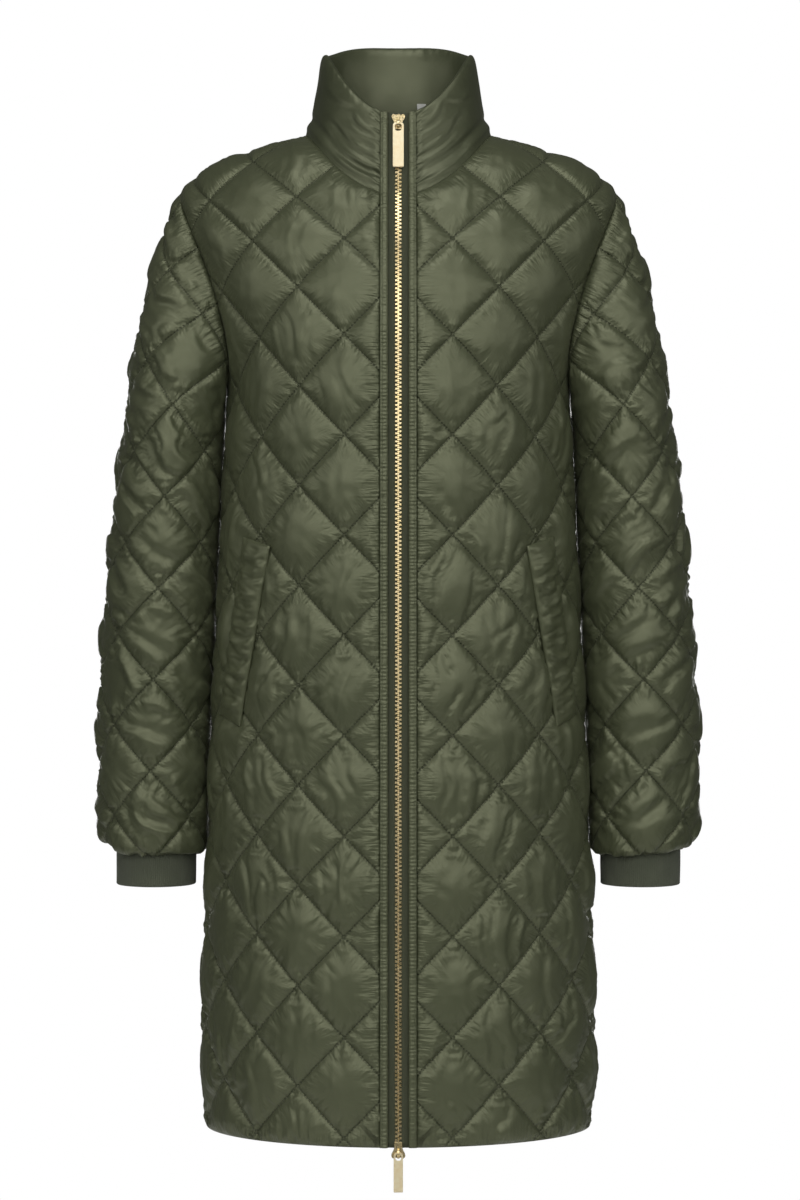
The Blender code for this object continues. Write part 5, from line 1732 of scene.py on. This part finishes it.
def make_cuff(label, side, material, seed):
    """The knitted cuff: ribs that bow a little and a soft lower edge."""
    low, high = (corner[2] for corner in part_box("cuff_" + label))
    heights = [high, SLEEVE_HEM - 0.004, *CUFF_ROWS, low + 0.0010, low]
    columns = RIBS_ROUND * len(RIB_POINTS)
    rings = []
    for z in heights:
        ring = []
        for k in range(columns):
            turn = 2 * pi * k / columns
            sway = noise.noise(Vector((cos(turn) * 3 + seed, sin(turn) * 3, z * 40)))
            roll = -CUFF_ROLL[0] if z == low else 0.0
            rib = RIB_LIFT * RIB_POINTS[k % len(RIB_POINTS)]
            spot = cuff_ring(turn, z, rib + RIB_LIFT * sway + roll)
            ring.append(Vector((spot[0] * side, spot[1], z)))
        rings.append(ring)
    for z in heights[::-1]:
        ring = []
        for k in range(columns):
            spot = cuff_ring(2 * pi * k / columns, z, -CUFF_WALL + (CUFF_ROLL[1] if z == low else 0))
            ring.append(Vector((spot[0] * side, spot[1], z)))
        rings.append(ring)
    return rings_object("knit_cuff_" + label, rings, material, closed=True)


def make_label(material):
    """The blank tab, with its node's form and softened edges."""
    bm = bmesh.new()
    bm.from_mesh(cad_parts["neck_label"].data)
    bmesh.ops.remove_doubles(bm, verts=bm.verts, dist=WELD)
    piece = add("neck_tab", mesh_of("neck_tab", bm), material)
    bevel = piece.modifiers.new("edges", "BEVEL")
    bevel.width = 0.0003
    bevel.segments = 2
    return piece


# ---------------------------------------------------------------- camera, light, floor
MM_PER_PIXEL = 0.94e-3     # at the coat's side seams
FRAME_SIZE = (800, 1200)
CENTRE_PIXEL = 398.3       # the coat's centre line in the frame
CAMERA_AWAY = 3.1
CAMERA_HEIGHT = -0.436
FLOOR_HEIGHT = -1.30


def add_camera():
    data = bpy.data.cameras.new("camera")
    data.sensor_fit = "VERTICAL"
    data.sensor_height = 36
    data.lens = 36 * CAMERA_AWAY / (FRAME_SIZE[1] * MM_PER_PIXEL)
    data.shift_x = (FRAME_SIZE[0] / 2 - CENTRE_PIXEL) / FRAME_SIZE[1]
    camera = add("camera", data)
    camera.location = (0, -CAMERA_AWAY, CAMERA_HEIGHT)
    camera.rotation_euler = (pi / 2, 0, 0)
    bpy.context.scene.camera = camera


AMBIENT = 0.058
Light = namedtuple("Light", "name place aim size power")
LIGHTS = (
    Light("front", (0, -2.9, 1.0), (0, 0, -0.45), (5.6, 0.9), 47.0),
    Light("low", (0, -2.9, -0.1), (0, 0, -0.75), (5.6, 0.6), 27.0),
    Light("above", (0, -1.6, 2.4), (0, 0, -0.45), (2.4, 1.2), 36.0),
    Light("back", (0, 2.7, -0.4), (0, 0, -0.45), (2.4, 0.9), 40.0),
    Light("left", (2.8, -1.4, 0.5), (0, 0, -0.4), (1.6, 1.2), 9.0),
    Light("right", (-2.8, -1.4, 0.5), (0, 0, -0.4), (1.6, 1.2), 9.0),
)


def add_lights():
    for light in LIGHTS:
        data = bpy.data.lights.new(light.name, "AREA")
        data.shape = "RECTANGLE"
        data.size, data.size_y = light.size
        data.energy = light.power
        lamp = add(light.name, data)
        lamp.location = light.place
        aim = Vector(light.aim) - Vector(light.place)
        lamp.rotation_euler = aim.to_track_quat("-Z", "Y").to_euler()
    world = bpy.data.worlds.new("studio")
    bpy.context.scene.world = world
    world.use_nodes = True
    nodes, links = world.node_tree.nodes, world.node_tree.links
    seen = nodes["Background"]
    seen.inputs["Color"].default_value = (1, 1, 1, 1)
    seen.inputs["Strength"].default_value = 1.0
    ambient = nodes.new("ShaderNodeBackground")
    ambient.inputs["Color"].default_value = (1, 1, 1, 1)
    ambient.inputs["Strength"].default_value = AMBIENT
    path = nodes.new("ShaderNodeLightPath")
    mix = nodes.new("ShaderNodeMixShader")
    links.new(path.outputs["Is Camera Ray"], mix.inputs[0])
    links.new(ambient.outputs[0], mix.inputs[1])
    links.new(seen.outputs[0], mix.inputs[2])
    links.new(mix.outputs[0], nodes["World Output"].inputs["Surface"])
    bpy.context.scene.view_settings.view_transform = "Standard"


def add_floor():
    size = 1.2
    corners = [(-size, -size), (size, -size), (size, size), (-size, size)]
    finish = Material("floor", 0.9)
    finish.put("Base Color", BACKDROP)
    mesh = new_mesh("floor", [(x, y, FLOOR_HEIGHT) for x, y in corners], [[0, 1, 2, 3]])
    add("floor", mesh, finish.made)


# ---------------------------------------------------------------- putting it together
def sleeve_twins(panel):
    """The points along the sleeve's lengthwise seam, paired across it."""
    seam = pi * SLEEVE_RADIUS - 1e-6
    left = {}
    for k in range(panel.size):
        if panel.flat[k][0] < -seam:
            left[round(panel.flat[k][1], 7)] = k
    twins = {}
    for k in range(panel.size):
        if panel.flat[k][0] > seam and round(panel.flat[k][1], 7) in left:
            twins[k] = left[round(panel.flat[k][1], 7)]
    return twins


def dress(piece, body, slot, *nodes):
    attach(piece, body)
    if nodes:
        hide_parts(*nodes)


def body_outward(spot):
    return Vector((spot.x, spot.y, 0.05))


def make_quilting(outer, lining):
    front = Panel(front_outline(), FRONT_LATTICE, BODY_SWELL, BODY_PUCKER,
                  lambda s, t: on_body(s, t, 1), body_outward, bare=welt_outline())
    back = Panel(back_outline(), BACK_LATTICE, BODY_SWELL, BODY_PUCKER,
                 lambda s, t: on_body(s, t, -1), body_outward)
    sleeve = Panel(sleeve_outline(), SLEEVE_LATTICE, SLEEVE_SWELL, SLEEVE_PUCKER,
                   on_sleeve, sleeve_outward)
    twins = sleeve_twins(sleeve)
    other = sleeve.mirrored()
    rooms = {"front": front.room([sleeve]), "sleeve": sleeve.room([front, back]),
             "back": back.room([sleeve, other])}
    panels = {"front_left": front, "front_right": front.mirrored(), "back": back,
              "sleeve_left": sleeve, "sleeve_right": other}
    settle(list(panels.values()))
    for seed, (node, panel) in enumerate(panels.items()):
        panel.hold_within(rooms[node.split("_")[0]])
        panel.press_stitches()
        pairs = twins if node.startswith("sleeve") else None
        piece = panel_object("quilted_" + node, panel, (outer, lining), seed * 3.0, pairs)
        dress(piece, "coat", "quilted_shell", node)


def main():
    add_camera()
    add_lights()
    add_floor()
    quilted, plain = satin("quilted_satin", stitched=True), satin("plain_satin")
    brass = gold("gold_metal", GOLD, 0.26, 0.9)
    # painted highlight: the pulls get a paler, half-diffuse copy of the gold in place of their
    # reflection of the light box
    pull_gold_painted_highlight = gold("pull_metal", PULL_GOLD_PAINTED_BRIGHT, 0.5, 0.5)
    make_quilting(quilted, plain)
    # the collar gets the darker, painted-shade copy of the olive satin
    collar = make_collar(satin("collar_satin", tones=COLLAR_SHADED_TONES))
    dress(collar, "coat", "plain_shell", "collar")
    for piece, node in make_bands(plain):
        dress(piece, "coat", "plain_shell", node)
    for piece, node in make_tapes(tape_weave()):
        dress(piece, "coat", "zip_tape", node)
    dress(make_teeth(brass), "coat", "gold_metal", "zip_chain")
    head, foot = zip_frame(TOP_AXIS_Z, AXIS_OUT), zip_frame(BOTTOM_AXIS_Z, AXIS_OUT)
    dress(make_slider("zip_slider_top", head, 1, brass), "coat", "gold_metal", "slider_top")
    dress(make_slider("zip_slider_bottom", foot, -1, brass), "coat", "gold_metal", "slider_bottom")
    dress(make_pull("tab_top", head, PULL_TOP, pull_gold_painted_highlight), "pull_top", "gold_metal", "pull_top")
    dress(make_pull("tab_bottom", foot, PULL_BOTTOM, pull_gold_painted_highlight), "pull_bottom", "gold_metal", "pull_bottom")
    knit = rib_knit()
    for number, (label, side) in enumerate(SIDES):
        welt = make_welt(label, side, plain, 20.0 + 9 * number)
        dress(welt, "coat", "plain_shell", "pocket_welt_" + label)
        cuff = make_cuff(label, side, knit, 40.0 + 9 * number)
        dress(cuff, "coat", "rib_knit", "cuff_" + label)
    dress(make_label(pale_tab()), "coat", "label", "neck_label")


main()
